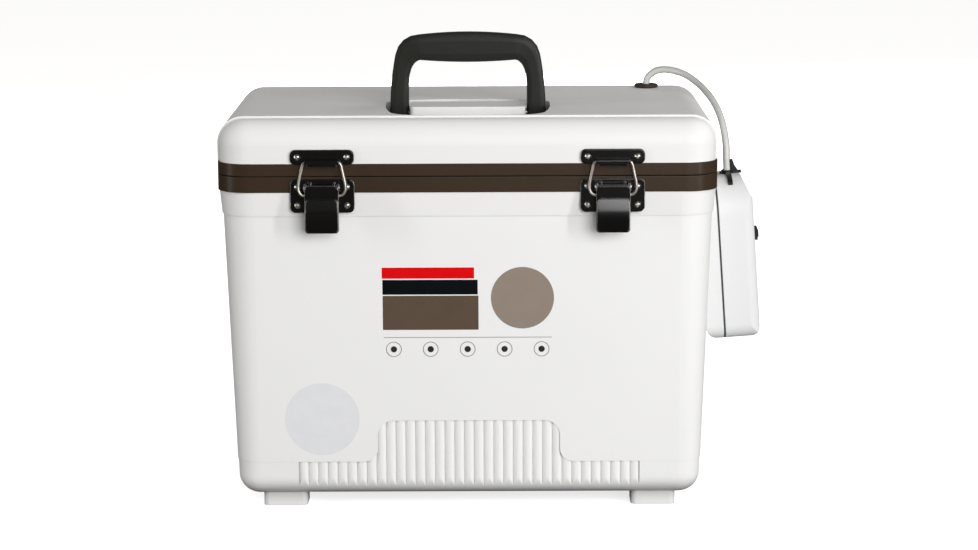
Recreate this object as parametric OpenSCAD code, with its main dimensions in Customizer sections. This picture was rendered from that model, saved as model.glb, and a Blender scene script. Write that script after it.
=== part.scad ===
// Aerated bait bucket: an insulated hard-sided box with a hinged lid, two draw
// latches, a folding carry handle and a battery air pump hung on its right side.
// Millimetres. +X is to the right, -Y is the front, +Z is up, and the origin is
// on the floor under the middle of the body.

/* [Overall] */
// Width over the rims
rim_w = 412; // [396:1:432]
// Depth over the rims, front to back
rim_d = 262; // [254:1:276]
// Height of the seam between body and lid
seam_z = 283.5; // [276:0.5:300]
// Height of the lid above the seam
lid_h = 47; // [44:0.5:52]
// Plan radius of the rims at the corners
rim_corner_r = 27; // [25:1:32]
// Draft of the body walls and of the tub, in degrees
draft = 2.1; // [1.5:0.1:2.5]
// Gap left between neighbouring pieces of one assembly
fit_gap = 0.3; // [0.2:0.05:0.4]
// Radial play of a pin in the piece that turns on it
pin_play = 0.05; // [0.03:0.01:0.09]

/* [Body] */
// Height of the brown rim round the body's mouth
body_rim_h = 12.8; // [11:0.1:14]
// Height of the collar under the body rim
collar_h = 20; // [16:0.5:26]
// How far the collar's top edge lies inside the rim
collar_top_in = 0.6; // [0.3:0.1:1]
// How far the collar's bottom edge lies inside the rim
collar_bottom_in = 2.6; // [1.6:0.1:3]
// Step from the collar to the wall below it
ledge_step = 0.9; // [0.5:0.1:1.5]
// Wall of the moulded outer shells
shell_wall = 3.2; // [2.8:0.1:3.6]
// Radius of the edge round the underside
bottom_r = 17; // [14:1:20]
// Height of the underside above the floor
foot_h = 11; // [8:1:14]
// Width of each foot
foot_w = 37; // [30:1:44]
// Length of each foot, front to back
foot_d = 30; // [24:1:36]
// Thickness of the pad under each foot
pad_h = 2.5; // [2:0.5:4]
// Height of the mouldings' rebate into the rims
tongue_h = 2.5; // [2:0.1:2.6]

/* [Ribs] */
// Number of ribs across the front and the back
rib_count = 35; // [31:2:37]
// Distance from rib to rib
rib_pitch = 8.15; // [7.5:0.05:8.4]
// Depth of the grooves between the ribs
rib_depth = 1.8; // [1.2:0.1:2.2]
// Top of the low ribbed band round the foot of the body
band_z = 41; // [36:1:48]
// Depth of the step at the top of that band
band_step = 0.5; // [0.3:0.1:0.8]
// Top of the raised middle field of ribs
rib_top_z = 76.5; // [66:0.5:90]
// Half width of the middle field at its top corner
rib_top_x = 76; // [66:1:90]

/* [Tub] */
// Thickness of the insulated side walls at the mouth
side_wall_t = 22; // [21.5:0.5:28]
// Thickness of the insulated front and back walls at the mouth
front_wall_t = 24.5; // [23.5:0.5:30]
// Thickness of the insulated base under the tub
base_t = 33.6; // [30:0.2:50]
// Wall of the tub
tub_wall = 2.5; // [2:0.1:3]
// Plan radius of the tub's mouth
tub_corner_r = 22; // [18:1:26]
// Radius between the tub's walls and its floor
tub_floor_r = 12; // [8:1:16]

/* [Lid] */
// Height of the brown rim round the lid
lid_rim_h = 10.1; // [9:0.1:12]
// Open seam between the two rims
seam_gap = 0.8; // [0.6:0.1:1.2]
// Radius of the lid's top edges
lid_edge_r = 20; // [16:1:22]
// How far the middle band of the lid stands above its ends
band_rise = 1.7; // [1:0.1:2.2]
// Half length of that band, front to back
band_half = 107.5; // [104:0.5:112]
// Depth of the lid's plug inside the tub
plug_h = 8; // [5:0.5:12]
// Gap between that plug and the tub
plug_gap = 3; // [2.5:0.5:5]
// Width of the rubber seal
seal_w = 7; // [5:0.5:8]

/* [Handle] */
// Distance of the handle's pivot in front of the lid's middle
pivot_front = 34; // [30:1:38]
// Depth of the handle's pivot under the lid's top
pivot_sink = 6.5; // [6:0.5:8]
// Height of the handle above its pivot
handle_rise = 68.5; // [64:0.5:70]
// Half width of the handle at its pivot
handle_half = 66; // [62:1:67]
// Half width of the opening between its legs
window_half = 49.8; // [49.6:0.2:52]
// Height of the opening above the pivot
window_rise = 44.8; // [40:0.2:48]
// Thickness of the legs, front to back
leg_t = 13; // [11:0.5:13.5]
// Thickness of the grip, front to back
grip_t = 15; // [13:0.5:17]
// Radius of the handle's outer corners
handle_corner_r = 20; // [14:1:22]
// Depth of the recess in the lid that takes the folded handle
recess_h = 15.5; // [15:0.5:17]
// Gap between the folded handle and the recess
recess_gap = 3.5; // [2:0.5:4.5]
// Depth of the block between the handle's legs, front to back
block_d = 39; // [34:1:42]
// Half width of that block
block_half = 48.8; // [46:0.2:49]
// Radius of the handle's pivot rod
rod_r = 3; // [2.5:0.1:3.5]

/* [Latches] */
// Distance of each latch's middle from the side of the rims
latch_in = 87.5; // [78:0.5:100]
// Width of the latch plates
plate_w = 52.4; // [50:0.2:58]
// Sheet thickness of the latch
sheet_t = 1.5; // [1.2:0.1:1.8]
// Height of the base plate
base_h = 27.5; // [26:0.5:30]
// Height of the strike plate above the hook
strike_h = 12.2; // [10.5:0.1:13]
// Drop from the seam to the lever's pivot
pivot_drop = 8; // [8:0.5:10]
// Distance of the lever's pivot in front of the base plate
pivot_out = 5.6; // [5.4:0.1:6.5]
// Distance of the bail's ends from the lever's pivot
crank_r = 7; // [6.6:0.1:7.4]
// Width of the lever
lever_w = 27.8; // [25:0.1:28]
// Length of the lever below its pivot
lever_len = 37; // [32:0.5:42]
// Diameter of the bail's wire
bail_d = 2.4; // [2:0.1:2.6]
// Height of the bail above its own ends
bail_rise = 27; // [26.5:0.5:29]
// Radius of the lever's pivot pin
lever_pin_r = 2; // [1.6:0.1:2.4]
// Radius of a screw's head
head_r = 2.8; // [2.4:0.1:3.2]
// Radius of a screw's shank
shank_r = 1.6; // [1.3:0.1:1.9]

/* [Hinges] */
// Width of each hinge
hinge_w = 50; // [40:1:60]
// Distance of the hinge axis behind the rims
hinge_out = 5.5; // [5.3:0.1:7]
// Radius of the hinge knuckles
knuckle_r = 4.5; // [3.8:0.1:4.8]
// Radius of the hinge pin
hinge_pin_r = 2; // [1.6:0.1:2.2]
// Height of each hinge leaf
leaf_h = 24; // [20:1:27]

/* [Air pump] */
// Height of the pump's case
pump_h = 138; // [132:1:148]
// Width of the pump's case, front to back
pump_w = 84; // [80:1:90]
// Thickness of the outer half of the case
pump_t = 30.8; // [30:0.1:36]
// Lean of the case from upright, in degrees
pump_lean = 4; // [3.5:0.1:4.5]
// Height of the case's foot above the floor
pump_z = 127.5; // [110:0.5:140]
// Gap between the case and the body wall
pump_off = 5; // [4.8:0.1:7]
// Wall of the pump's case
pump_wall = 2.4; // [2:0.1:2.6]
// Thickness of the case's seal
pump_seal_t = 1.6; // [1.2:0.1:2]
// Diameter of a battery cell
cell_d = 34.2; // [33:0.1:34.2]
// Length of a battery cell
cell_len = 61.5; // [58:0.1:61.5]
// Travel of the switch
switch_travel = 4; // [3:0.5:5]
// Outer diameter of the air hose
hose_d = 6; // [5:0.5:7]

/* [Hidden] */
$fn = 48;
eps = 0.01;

// Colours
white = [0.93, 0.93, 0.92];
brown = [0.24, 0.18, 0.14];
black = [0.07, 0.07, 0.07];
steel = [0.72, 0.70, 0.66];
foam_tone = [0.90, 0.86, 0.70];
rubber = [0.15, 0.15, 0.15];

// Heights that follow from the driving sizes
tub_w = rim_w - 2 * side_wall_t;
tub_d = rim_d - 2 * front_wall_t;
body_rim_top = seam_z - seam_gap / 2;
body_rim_z = body_rim_top - body_rim_h;
ledge_z = body_rim_z - collar_h;
ledge_in = collar_bottom_in + ledge_step;
lid_rim_z = seam_z + seam_gap / 2;
lid_rim_top = lid_rim_z + lid_rim_h;
lid_top = seam_z + lid_h;
lid_end_top = lid_top - band_rise;
tub_floor_z = foot_h + base_t;
front_y = -rim_d / 2;
latch_x = rim_w / 2 - latch_in;

// How far the wall lies inside the rim at a height
function wall_in(z) = ledge_in + (ledge_z - z) * tan(draft);

// Distance of the body's corner axes from the rims' faces
body_axis = 31;

// Shape of the pump's case
back_t = 16;
back_top_t = 5.3;
back_r = 12;
foot_r = 10;
air_u = 13;
seal_half = pump_seal_t / 2;
pump_x = rim_w / 2 - wall_in(pump_z + back_r) + pump_off + back_t + back_r * tan(pump_lean);
case_corner_r = 12;

// How far the tub's wall lies inside its mouth at a height
function tub_in(z) = (body_rim_top - z) * tan(draft);

function unit(v) = v / norm(v);

// Direction of a route at one of its points
function heading(p, i) = unit(p[min(i + 1, len(p) - 1)] - p[max(i - 1, 0)]);

module rounded(w, d, r) {
    square([w - 2 * r, d], center = true);
    square([w, d - 2 * r], center = true);
    for (x = [-1, 1], y = [-1, 1])
        translate([x * (w / 2 - r), y * (d / 2 - r)])
            circle(r);
}

module slab(w, d, r, z0, z1) {
    translate([0, 0, z0])
        linear_extrude(z1 - z0)
            rounded(w, d, r);
}

// A box whose walls follow a profile, drawn from each corner's axis as [out, z]
module swept_box(w, d, corner, z0, z1) {
    translate([corner - w / 2, corner - d / 2, z0])
        cube([w - 2 * corner, d - 2 * corner, z1 - z0]);
    for (turn = [0, 180])
        rotate([0, 0, turn]) {
            translate([w / 2 - corner, d / 2 - corner, 0])
                rotate_extrude(angle = 90)
                    children();
            translate([corner - w / 2, d / 2 - corner, 0])
                rotate([0, 0, 90])
                    rotate_extrude(angle = 90)
                        children();
            translate([w / 2 - corner, d / 2 - corner, 0])
                rotate([90, 0, 0])
                    linear_extrude(d - 2 * corner)
                        children();
            translate([corner - w / 2, d / 2 - corner, 0])
                rotate([90, 0, 90])
                    linear_extrude(w - 2 * corner)
                        children();
        }
}

// The same profile with a round foot of radius r, off inside the body's surface
module body_profile(off, z0, z1, r) {
    foot_x = body_axis - wall_in(z0 + r) - off - r;
    module half() {
        translate([foot_x, z0 + r])
            circle(r);
        polygon([[0, z0], [foot_x, z0], [foot_x + r, z0 + r],
                 [body_axis - wall_in(z1) - off, z1], [0, z1]]);
    }
    intersection() {
        half();
        translate([0, z0])
            square([2 * body_axis, z1 - z0]);
    }
}

module tub_profile(off, z1) {
    z0 = tub_floor_z - off;
    r = tub_floor_r + off;
    foot_x = tub_corner_r - tub_in(z0 + r) + off - r;
    module half() {
        translate([foot_x, z0 + r])
            circle(r);
        polygon([[0, z0], [foot_x, z0], [foot_x + r, z0 + r],
                 [tub_corner_r - tub_in(z1) + off, z1], [0, z1]]);
    }
    intersection() {
        half();
        translate([0, z0])
            square([2 * body_axis, z1 - z0]);
    }
}

// A ring of the rim's outline between two insets
module rim_ring(in_outer, in_inner, z0, z1) {
    difference() {
        slab(rim_w - 2 * in_outer, rim_d - 2 * in_outer, rim_corner_r - in_outer, z0, z1);
        slab(rim_w - 2 * in_inner, rim_d - 2 * in_inner, rim_corner_r - in_inner,
             z0 - 1, z1 + 1);
    }
}

// A tube along a flat route whose plane is square to side
module tube(p, r, sides, side) {
    n = len(p);
    points = [
        for (i = [0 : n - 1])
            let (t = heading(p, i), a = unit(side - (side * t) * t), b = cross(t, a))
                for (k = [0 : sides - 1])
                    p[i] + r * (cos(360 * k / sides) * a + sin(360 * k / sides) * b)
    ];
    first = [for (k = [0 : sides - 1]) k];
    last = [for (k = [sides - 1 : -1 : 0]) (n - 1) * sides + k];
    skin = [
        for (i = [0 : n - 2], k = [0 : sides - 1], half = [0, 1])
            let (a = i * sides + k, b = i * sides + (k + 1) % sides)
                half == 0 ? [a, a + sides, b] : [b, a + sides, b + sides]
    ];
    polyhedron(points, concat([first], skin, [last]));
}

// Extrudes a side view, drawn as [y, z], across x0 to x1
module across(x0, x1) {
    translate([x0, 0, 0])
        rotate([90, 0, 90])
            linear_extrude(x1 - x0)
                children();
}

// Extrudes a front view, drawn as [x, z], from y0 back to y1
module along(y0, y1) {
    translate([0, y1, 0])
        rotate([90, 0, 0])
            linear_extrude(y1 - y0)
                children();
}

// A screw whose head rests at y = 0 and faces -Y; its shank runs back to depth
module screw(depth) {
    rotate([-90, 0, 0])
        cylinder(h = depth, r = shank_r);
    difference() {
        intersection() {
            translate([0, head_r * 0.45, 0])
                sphere(head_r * 1.1);
            rotate([90, 0, 0])
                cylinder(h = head_r, r = head_r);
        }
        for (turn = [0, 90])
            rotate([0, turn, 0])
                translate([-0.4, -head_r, -1.6])
                    cube([0.8, head_r - 0.8, 3.2]);
    }
}

module screw_hole(depth) {
    rotate([-90, 0, 0])
        cylinder(h = depth, r = shank_r + eps);
}

// ---- Body ----

// The front view of the ribbed area: a low band with a raised middle field
module rib_outline() {
    half = rib_count * rib_pitch / 2;
    r_top = 13;
    r_low = 11;
    side = [
        for (a = [0 : 15 : 90])
            [rib_top_x - r_top + r_top * sin(a), rib_top_z - r_top + r_top * cos(a)]
    ];
    foot = [
        for (a = [0 : 15 : 90])
            [rib_top_x + r_low - r_low * cos(a), band_z + r_low - r_low * sin(a)]
    ];
    right = concat(side, foot, [[half, band_z], [half, -bottom_r]]);
    left = [for (i = [len(right) - 1 : -1 : 0]) [-right[i][0], right[i][1]]];
    polygon(concat(right, left));
}

// The grooves between the ribs, in plan, cut inwards from y = 0
module rib_grooves() {
    half = rib_count * rib_pitch / 2;
    reach = (rib_pitch - 0.4) / 2;
    rib_r = (pow(reach, 2) + pow(rib_depth, 2)) / (2 * rib_depth);
    difference() {
        translate([-half, -2])
            square([2 * half, 2 + rib_depth]);
        for (i = [0 : rib_count - 1])
            translate([-half + (i + 0.5) * rib_pitch, rib_r])
                circle(rib_r);
    }
}

module rib_cuts() {
    turn_z = foot_h + bottom_r;
    turn_y = front_y + wall_in(turn_z) + band_step;
    intersection() {
        translate([0, turn_y, turn_z])
            rotate([draft, 0, 0])
                translate([0, 0, -bottom_r])
                    linear_extrude(rib_top_z)
                        rib_grooves();
        along(front_y - 5, front_y + 30)
            rib_outline();
    }
}

module foot_places() {
    x_foot = rim_w / 2 - wall_in(foot_h) - bottom_r - foot_w / 2 - 3.5;
    y_foot = rim_d / 2 - wall_in(foot_h) - bottom_r - foot_d / 2 + 5.5;
    for (x = [-1, 1], y = [-1, 1])
        translate([x * x_foot, y * y_foot, 0])
            children();
}

pad_peg_r = 4;

module body_shell() {
    color(white)
        difference() {
            union() {
                swept_box(rim_w, rim_d, body_axis, foot_h, body_rim_z) {
                    body_profile(band_step, foot_h, band_z, bottom_r);
                    polygon([[0, band_z], [body_axis - wall_in(band_z), band_z],
                             [body_axis - wall_in(ledge_z), ledge_z],
                             [body_axis - collar_bottom_in, ledge_z],
                             [body_axis - collar_top_in, body_rim_z], [0, body_rim_z]]);
                }
                rim_ring(tongue_in, tongue_in + tongue_t, body_rim_z - 2, body_rim_z + tongue_h);
                foot_places()
                    slab(foot_w, foot_d, 5, pad_h, foot_h + bottom_r / 2);
            }
            swept_box(rim_w, rim_d, body_axis, foot_h + shell_wall, body_rim_z + tongue_h + 1)
                body_profile(shell_wall + band_step, foot_h + shell_wall,
                             body_rim_z + tongue_h + 1, bottom_r - shell_wall);
            for (turn = [0, 180])
                rotate([0, 0, turn])
                    rib_cuts();
            foot_places()
                translate([0, 0, pad_h - 1])
                    cylinder(h = 1 + pad_peg_h + fit_gap, r = pad_peg_r + fit_gap / 2);
            base_screw_places([low_screw_z])
                screw_hole(base_screw_depth + fit_gap);
            hinge_screw_places(hinge_body_screw_z)
                screw_hole(base_screw_depth + fit_gap);
            bracket_screw_places()
                translate([0, 0, -1])
                    cylinder(h = bracket_screw_len + fit_gap + 1, r = shank_r + eps);
        }
}

tongue_in = 1.9;
tongue_t = 1.6;
pad_peg_h = 4;

module foot_pads() {
    color(white)
        foot_places() {
            slab(foot_w, foot_d, 5, 0, pad_h);
            cylinder(h = pad_h + pad_peg_h, r = pad_peg_r);
        }
}

flange_w = 6;
flange_t = 2.5;

module body_rim() {
    color(brown)
        difference() {
            slab(rim_w, rim_d, rim_corner_r, body_rim_z, body_rim_top);
            slab(tub_w + 2 * (tub_wall + fit_gap), tub_d + 2 * (tub_wall + fit_gap),
                 tub_corner_r + tub_wall + fit_gap, body_rim_z - 1, body_rim_top + 1);
            slab(tub_w + 2 * (flange_w + fit_gap), tub_d + 2 * (flange_w + fit_gap),
                 tub_corner_r + flange_w + fit_gap, body_rim_top - flange_t, body_rim_top + 1);
            rim_ring(tongue_in - fit_gap / 2, tongue_in + tongue_t + fit_gap / 2,
                     body_rim_z - 1, body_rim_z + tongue_h + fit_gap);
            base_screw_places([high_screw_z])
                screw_hole(base_screw_depth + fit_gap);
        }
}

module body_liner() {
    color(white)
        difference() {
            union() {
                swept_box(tub_w, tub_d, tub_corner_r, tub_floor_z - tub_wall, body_rim_top)
                    tub_profile(tub_wall, body_rim_top);
                slab(tub_w + 2 * flange_w, tub_d + 2 * flange_w, tub_corner_r + flange_w,
                     body_rim_top - flange_t, body_rim_top);
            }
            swept_box(tub_w, tub_d, tub_corner_r, tub_floor_z, body_rim_top + 1)
                tub_profile(0, body_rim_top + 1);
        }
}

module body_foam() {
    color(foam_tone)
        difference() {
            swept_box(rim_w, rim_d, body_axis, foot_h + shell_wall + fit_gap,
                      body_rim_z - fit_gap)
                body_profile(shell_wall + band_step + fit_gap, foot_h + shell_wall + fit_gap,
                             body_rim_z - fit_gap, bottom_r - shell_wall - fit_gap);
            swept_box(tub_w, tub_d, tub_corner_r, tub_floor_z - tub_wall - fit_gap,
                      body_rim_z + 1)
                tub_profile(tub_wall + fit_gap, body_rim_z + 1);
            bracket_screw_places()
                cylinder(h = bracket_screw_len + fit_gap, r = shank_r + fit_gap);
        }
}

// ---- Lid ----

// A box with round plan corners and a round top edge
module domed_box(w, d, corner, edge, z0, z1) {
    h = z1 - z0;
    module profile() {
        intersection() {
            union() {
                square([corner - edge, h]);
                square([corner, h - edge]);
                translate([corner - edge, h - edge])
                    circle(edge);
            }
            square([corner, h]);
        }
    }
    translate([0, 0, z0]) {
        translate([corner - w / 2, corner - d / 2, 0])
            cube([w - 2 * corner, d - 2 * corner, h]);
        for (turn = [0, 180])
            rotate([0, 0, turn]) {
                translate([w / 2 - corner, d / 2 - corner, 0])
                    rotate_extrude(angle = 90)
                        profile();
                translate([corner - w / 2, d / 2 - corner, 0])
                    rotate([0, 0, 90])
                        rotate_extrude(angle = 90)
                            profile();
                translate([w / 2 - corner, corner - d / 2, 0])
                    rotate([90, 0, 0])
                        translate([0, 0, -(d - 2 * corner)])
                            linear_extrude(d - 2 * corner)
                                profile();
                translate([corner - w / 2, d / 2 - corner, 0])
                    rotate([90, 0, 90])
                        linear_extrude(w - 2 * corner)
                            profile();
            }
    }
}

// The lid's outer form, off inside its surface
module lid_form(off, z0) {
    domed_box(rim_w - 2 * (band_rise + off), rim_d - 2 * (lid_in + off),
              rim_corner_r - band_rise - off, lid_edge_r - off, z0, lid_end_top - off);
    along(-(band_half - off), band_half - off)
        intersection() {
            translate([0, lid_top - off - lid_h])
                rounded(rim_w - 2 * (lid_in + off), 2 * lid_h, lid_edge_r + band_rise - off);
            translate([-rim_w, z0])
                square([2 * rim_w, lid_h]);
        }
}

lid_in = 0;

// The handle's outer edge, as half width against height over its pivot, grown by g
leg_lean = 4.5;
grip_bow = 2.4;
palm_bow = 1.7;
corner_turn = 10;
corner_x = handle_half - leg_lean - handle_corner_r;
corner_z = handle_rise - grip_bow - handle_corner_r;
leg_top = corner_z + handle_corner_r * sin(corner_turn);
leg_in = handle_half - corner_x - handle_corner_r * cos(corner_turn);

function leg_edge(h, g) = [handle_half - leg_in * pow(h / leg_top, 2) + g, h];
function corner_edge(a, g) = [corner_x, corner_z] + (handle_corner_r + g) * [cos(a), sin(a)];
function outer_edge(g) = concat(
    [for (t = [0 : 0.25 : 0.75]) leg_edge(leg_top * t, g)],
    [for (a = [corner_turn : 10 : 80]) corner_edge(a, g)],
    [for (t = [4 : -1 : 0]) [corner_x * t / 4, handle_rise - grip_bow * pow(t / 4, 2) + g]]
);

// Plan of the recess that takes the folded handle, and of the block in it
recess_half = handle_half + recess_gap;
block_back = pivot_front - 24;
recess_back = block_back - 8;
bow = 9;

module recess_plan(grow) {
    edge = concat([[recess_half + grow, -12]], outer_edge(recess_gap + grow));
    right = [for (p = edge) [p[0], -pivot_front - p[1]]];
    left = [for (i = [len(right) - 1 : -1 : 0]) [-right[i][0], right[i][1]]];
    bow_half = recess_half - 12;
    bow_r = (pow(bow_half, 2) + pow(bow, 2)) / (2 * bow);
    polygon(concat(right, left));
    translate([0, -(pivot_front + recess_back) / 2])
        rounded(2 * (recess_half + grow), pivot_front - recess_back + 2 * grow, 9 + grow);
    intersection() {
        translate([0, -recess_back + bow - bow_r])
            circle(bow_r + grow, $fn = 120);
        translate([-recess_half, -recess_back - 4])
            square([2 * recess_half, 40]);
    }
}

module block_plan(grow) {
    translate([0, -block_back - block_d / 2])
        rounded(2 * (block_half + grow), block_d + 2 * grow, 4 + grow);
}

rod_z = lid_top - pivot_sink;
recess_z = lid_top - recess_h;

module lid_shell() {
    color(white)
        difference() {
            union() {
                lid_form(0, lid_rim_top);
                rim_ring(tongue_in, tongue_in + tongue_t, lid_rim_top - tongue_h,
                         lid_rim_top + 2);
            }
            difference() {
                lid_form(shell_wall, lid_rim_top - 1);
                translate([0, 0, recess_z - shell_wall])
                    linear_extrude(lid_h)
                        difference() {
                            recess_plan(shell_wall);
                            block_plan(-shell_wall);
                        }
            }
            translate([0, 0, recess_z])
                linear_extrude(lid_h)
                    difference() {
                        recess_plan(0);
                        block_plan(0);
                    }
            translate([0, -pivot_front, rod_z])
                rotate([0, 90, 0])
                    cylinder(h = 2 * block_half + 2, r = rod_r + pin_play, center = true);
            translate([grommet_x, grommet_y, lid_rim_top])
                cylinder(h = lid_h, r = neck_r + fit_gap / 2);
            strike_screw_places()
                screw_hole(lid_screw_depth + fit_gap);
            hinge_screw_places(hinge_lid_screw_z)
                screw_hole(lid_screw_depth + fit_gap);
        }
}

module lid_rim() {
    color(brown)
        difference() {
            slab(rim_w, rim_d, rim_corner_r, lid_rim_z, lid_rim_top);
            slab(tub_w + 2, tub_d + 2, tub_corner_r + 1, lid_rim_z - 1, lid_rim_top + 1);
            slab(tub_w + 2 * (flange_w + fit_gap), tub_d + 2 * (flange_w + fit_gap),
                 tub_corner_r + flange_w + fit_gap, lid_rim_top - flange_t, lid_rim_top + 1);
            rim_ring(tongue_in - fit_gap / 2, tongue_in + tongue_t + fit_gap / 2,
                     lid_rim_top - tongue_h - fit_gap, lid_rim_top + 1);
            seal_ring(fit_gap / 2, lid_rim_z - 1, lid_rim_z + seal_sink);
        }
}

// The inner panel: a shallow tray whose floor hangs into the tub's mouth
module lid_liner() {
    plug_w = tub_w - 2 * plug_gap;
    plug_d = tub_d - 2 * plug_gap;
    plug_r = tub_corner_r - plug_gap;
    plug_z = body_rim_top - plug_h;
    color(white)
        difference() {
            union() {
                slab(tub_w + 2 * flange_w, tub_d + 2 * flange_w, tub_corner_r + flange_w,
                     lid_rim_top - flange_t, lid_rim_top - fit_gap);
                slab(plug_w, plug_d, plug_r, plug_z, lid_rim_top - fit_gap);
            }
            slab(plug_w - 2 * tub_wall, plug_d - 2 * tub_wall, plug_r - tub_wall,
                 plug_z + tub_wall, lid_rim_top + 1);
            translate([grommet_x, grommet_y, plug_z - 1])
                cylinder(h = tub_wall + 2, r = neck_r + fit_gap / 2);
        }
}

module lid_foam() {
    plug_z = body_rim_top - plug_h;
    off = shell_wall + fit_gap;
    color(foam_tone)
        difference() {
            union() {
                slab(tub_w - 2 * (plug_gap + tub_wall + fit_gap),
                     tub_d - 2 * (plug_gap + tub_wall + fit_gap),
                     tub_corner_r - plug_gap - tub_wall - fit_gap,
                     plug_z + tub_wall + fit_gap, lid_rim_top + 1);
                difference() {
                    lid_form(off, lid_rim_top + fit_gap);
                    translate([0, 0, recess_z - off])
                        linear_extrude(lid_h)
                            recess_plan(off);
                }
            }
            translate([grommet_x, grommet_y, 0])
                cylinder(h = 2 * seam_z, r = neck_r + fit_gap);
        }
}

seal_sink = 2.2;

module seal_ring(grow, z0, z1) {
    mid = (tub_w + 2 * flange_w + rim_w - 2 * (tongue_in + tongue_t)) / 4;
    mid_d = mid - (rim_w - rim_d) / 2;
    mid_r = rim_corner_r - (rim_w / 2 - mid);
    difference() {
        slab(2 * mid + seal_w + 2 * grow, 2 * mid_d + seal_w + 2 * grow,
             mid_r + seal_w / 2 + grow, z0, z1);
        slab(2 * mid - seal_w - 2 * grow, 2 * mid_d - seal_w - 2 * grow,
             mid_r - seal_w / 2 - grow, z0 - 1, z1 + 1);
    }
}

module lid_seal() {
    color(rubber)
        seal_ring(0, body_rim_top + fit_gap / 3, lid_rim_z + seal_sink);
}

// ---- Handle ----

// The opening's upper corner is a tall ellipse
window_turn_x = 10;
window_turn_z = 20;
function window_corner(a) = [window_half - window_turn_x * (1 - cos(a)),
                             window_rise - window_turn_z * (1 - sin(a))];

// One station of the handle: outer and inner edge as [x, z], then its thickness
function handle_right() =
    concat(
        [for (a = [75 : -15 : 15])
            [[handle_half, -leg_t / 2 * sin(a)], [window_half, -leg_t / 2 * sin(a)],
             leg_t * cos(a)]],
        [for (t = [0, 0.24, 0.48])
            [leg_edge(leg_top * t, 0), [window_half, leg_top * t], leg_t]],
        [for (s = [[0.68, 20], [0.87, 38]])
            [leg_edge(leg_top * s[0], 0), window_corner(s[1]), leg_t]],
        [for (s = [[10, 50], [30, 60], [50, 72], [70, 82], [90, 90]])
            [corner_edge(s[0], 0), window_corner(s[1]),
             leg_t + (grip_t - leg_t) * s[0] / 90]],
        [for (t = [0.8 : -0.2 : 0.1])
            [[corner_x * t, handle_rise - grip_bow * t * t],
             [(window_half - window_turn_x) * t, window_rise - palm_bow * (1 - t * t)],
             grip_t]]
    );

function mirrored(p) = [for (i = [len(p) - 1 : -1 : 0])
    [[-p[i][0][0], p[i][0][1]], [-p[i][1][0], p[i][1][1]], p[i][2]]];

function squircle(a) = [sign(cos(a)) * pow(abs(cos(a)), 0.45),
                        sign(sin(a)) * pow(abs(sin(a)), 0.45)];

module handle_bar() {
    sides = 20;
    right = handle_right();
    middle = [[[0, handle_rise], [0, window_rise - palm_bow], grip_t]];
    p = concat(right, middle, mirrored(right));
    n = len(p);
    points = [
        for (s = p)
            let (c = (s[0] + s[1]) / 2, h = (s[0] - s[1]) / 2)
                for (k = [0 : sides - 1])
                    let (q = squircle(360 * (k + 0.5) / sides))
                        [c[0] + h[0] * q[0], s[2] / 2 * q[1], c[1] + h[1] * q[0]]
    ];
    first = [for (k = [sides - 1 : -1 : 0]) k];
    last = [for (k = [0 : sides - 1]) (n - 1) * sides + k];
    skin = [
        for (i = [0 : n - 2], k = [0 : sides - 1], half = [0, 1])
            let (a = i * sides + k, b = i * sides + (k + 1) % sides)
                half == 0 ? [a, b, a + sides] : [b, b + sides, a + sides]
    ];
    polyhedron(points, concat([first], skin, [last]));
}

rod_end = window_half + 8;

module handle() {
    color(black)
        translate([0, -pivot_front, rod_z])
            difference() {
                handle_bar();
                for (s = [-1, 1])
                    translate([s * (window_half + rod_end - 2) / 2 + s, 0, 0])
                        rotate([0, 90, 0])
                            cylinder(h = rod_end - window_half + 2, r = rod_r + eps,
                                     center = true);
            }
}

module handle_rod() {
    color(steel)
        translate([0, -pivot_front, rod_z])
            rotate([0, 90, 0])
                cylinder(h = 2 * rod_end, r = rod_r, center = true);
}

// ---- Latches ----

plate_y = front_y - sheet_t;
lever_z = seam_z - pivot_drop;
lever_y = plate_y - pivot_out;
over = 12;
bail_y = lever_y + crank_r * sin(over);
bail_z = lever_z - crank_r * cos(over);
bail_top = bail_z + bail_rise;
wire_y = bail_y + 1.5;
lever_out = 4.9;
base_top = seam_z - 2;
base_bottom = base_top - base_h;
low_screw_z = base_bottom + 6;
high_screw_z = body_rim_z + tongue_h + fit_gap + shank_r + 0.3;
strike_z = lid_rim_top - 0.5;
strike_screw_z = strike_z + strike_h / 2;
screw_x = plate_w / 2 - 6;
base_screw_depth = 7;
lid_screw_depth = 4.2;
plate_corner_r = 4.4;
hook_half = 12;
lip_half = 14.5;
lip_rise = 1.6;

module base_screw_places(heights) {
    for (s = [-1, 1], x = [-screw_x, screw_x], z = heights)
        translate([s * latch_x + x, plate_y, z])
            children();
}

module strike_screw_places() {
    for (s = [-1, 1], x = [-screw_x, screw_x])
        translate([s * latch_x + x, plate_y, strike_screw_z])
            children();
}

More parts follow.
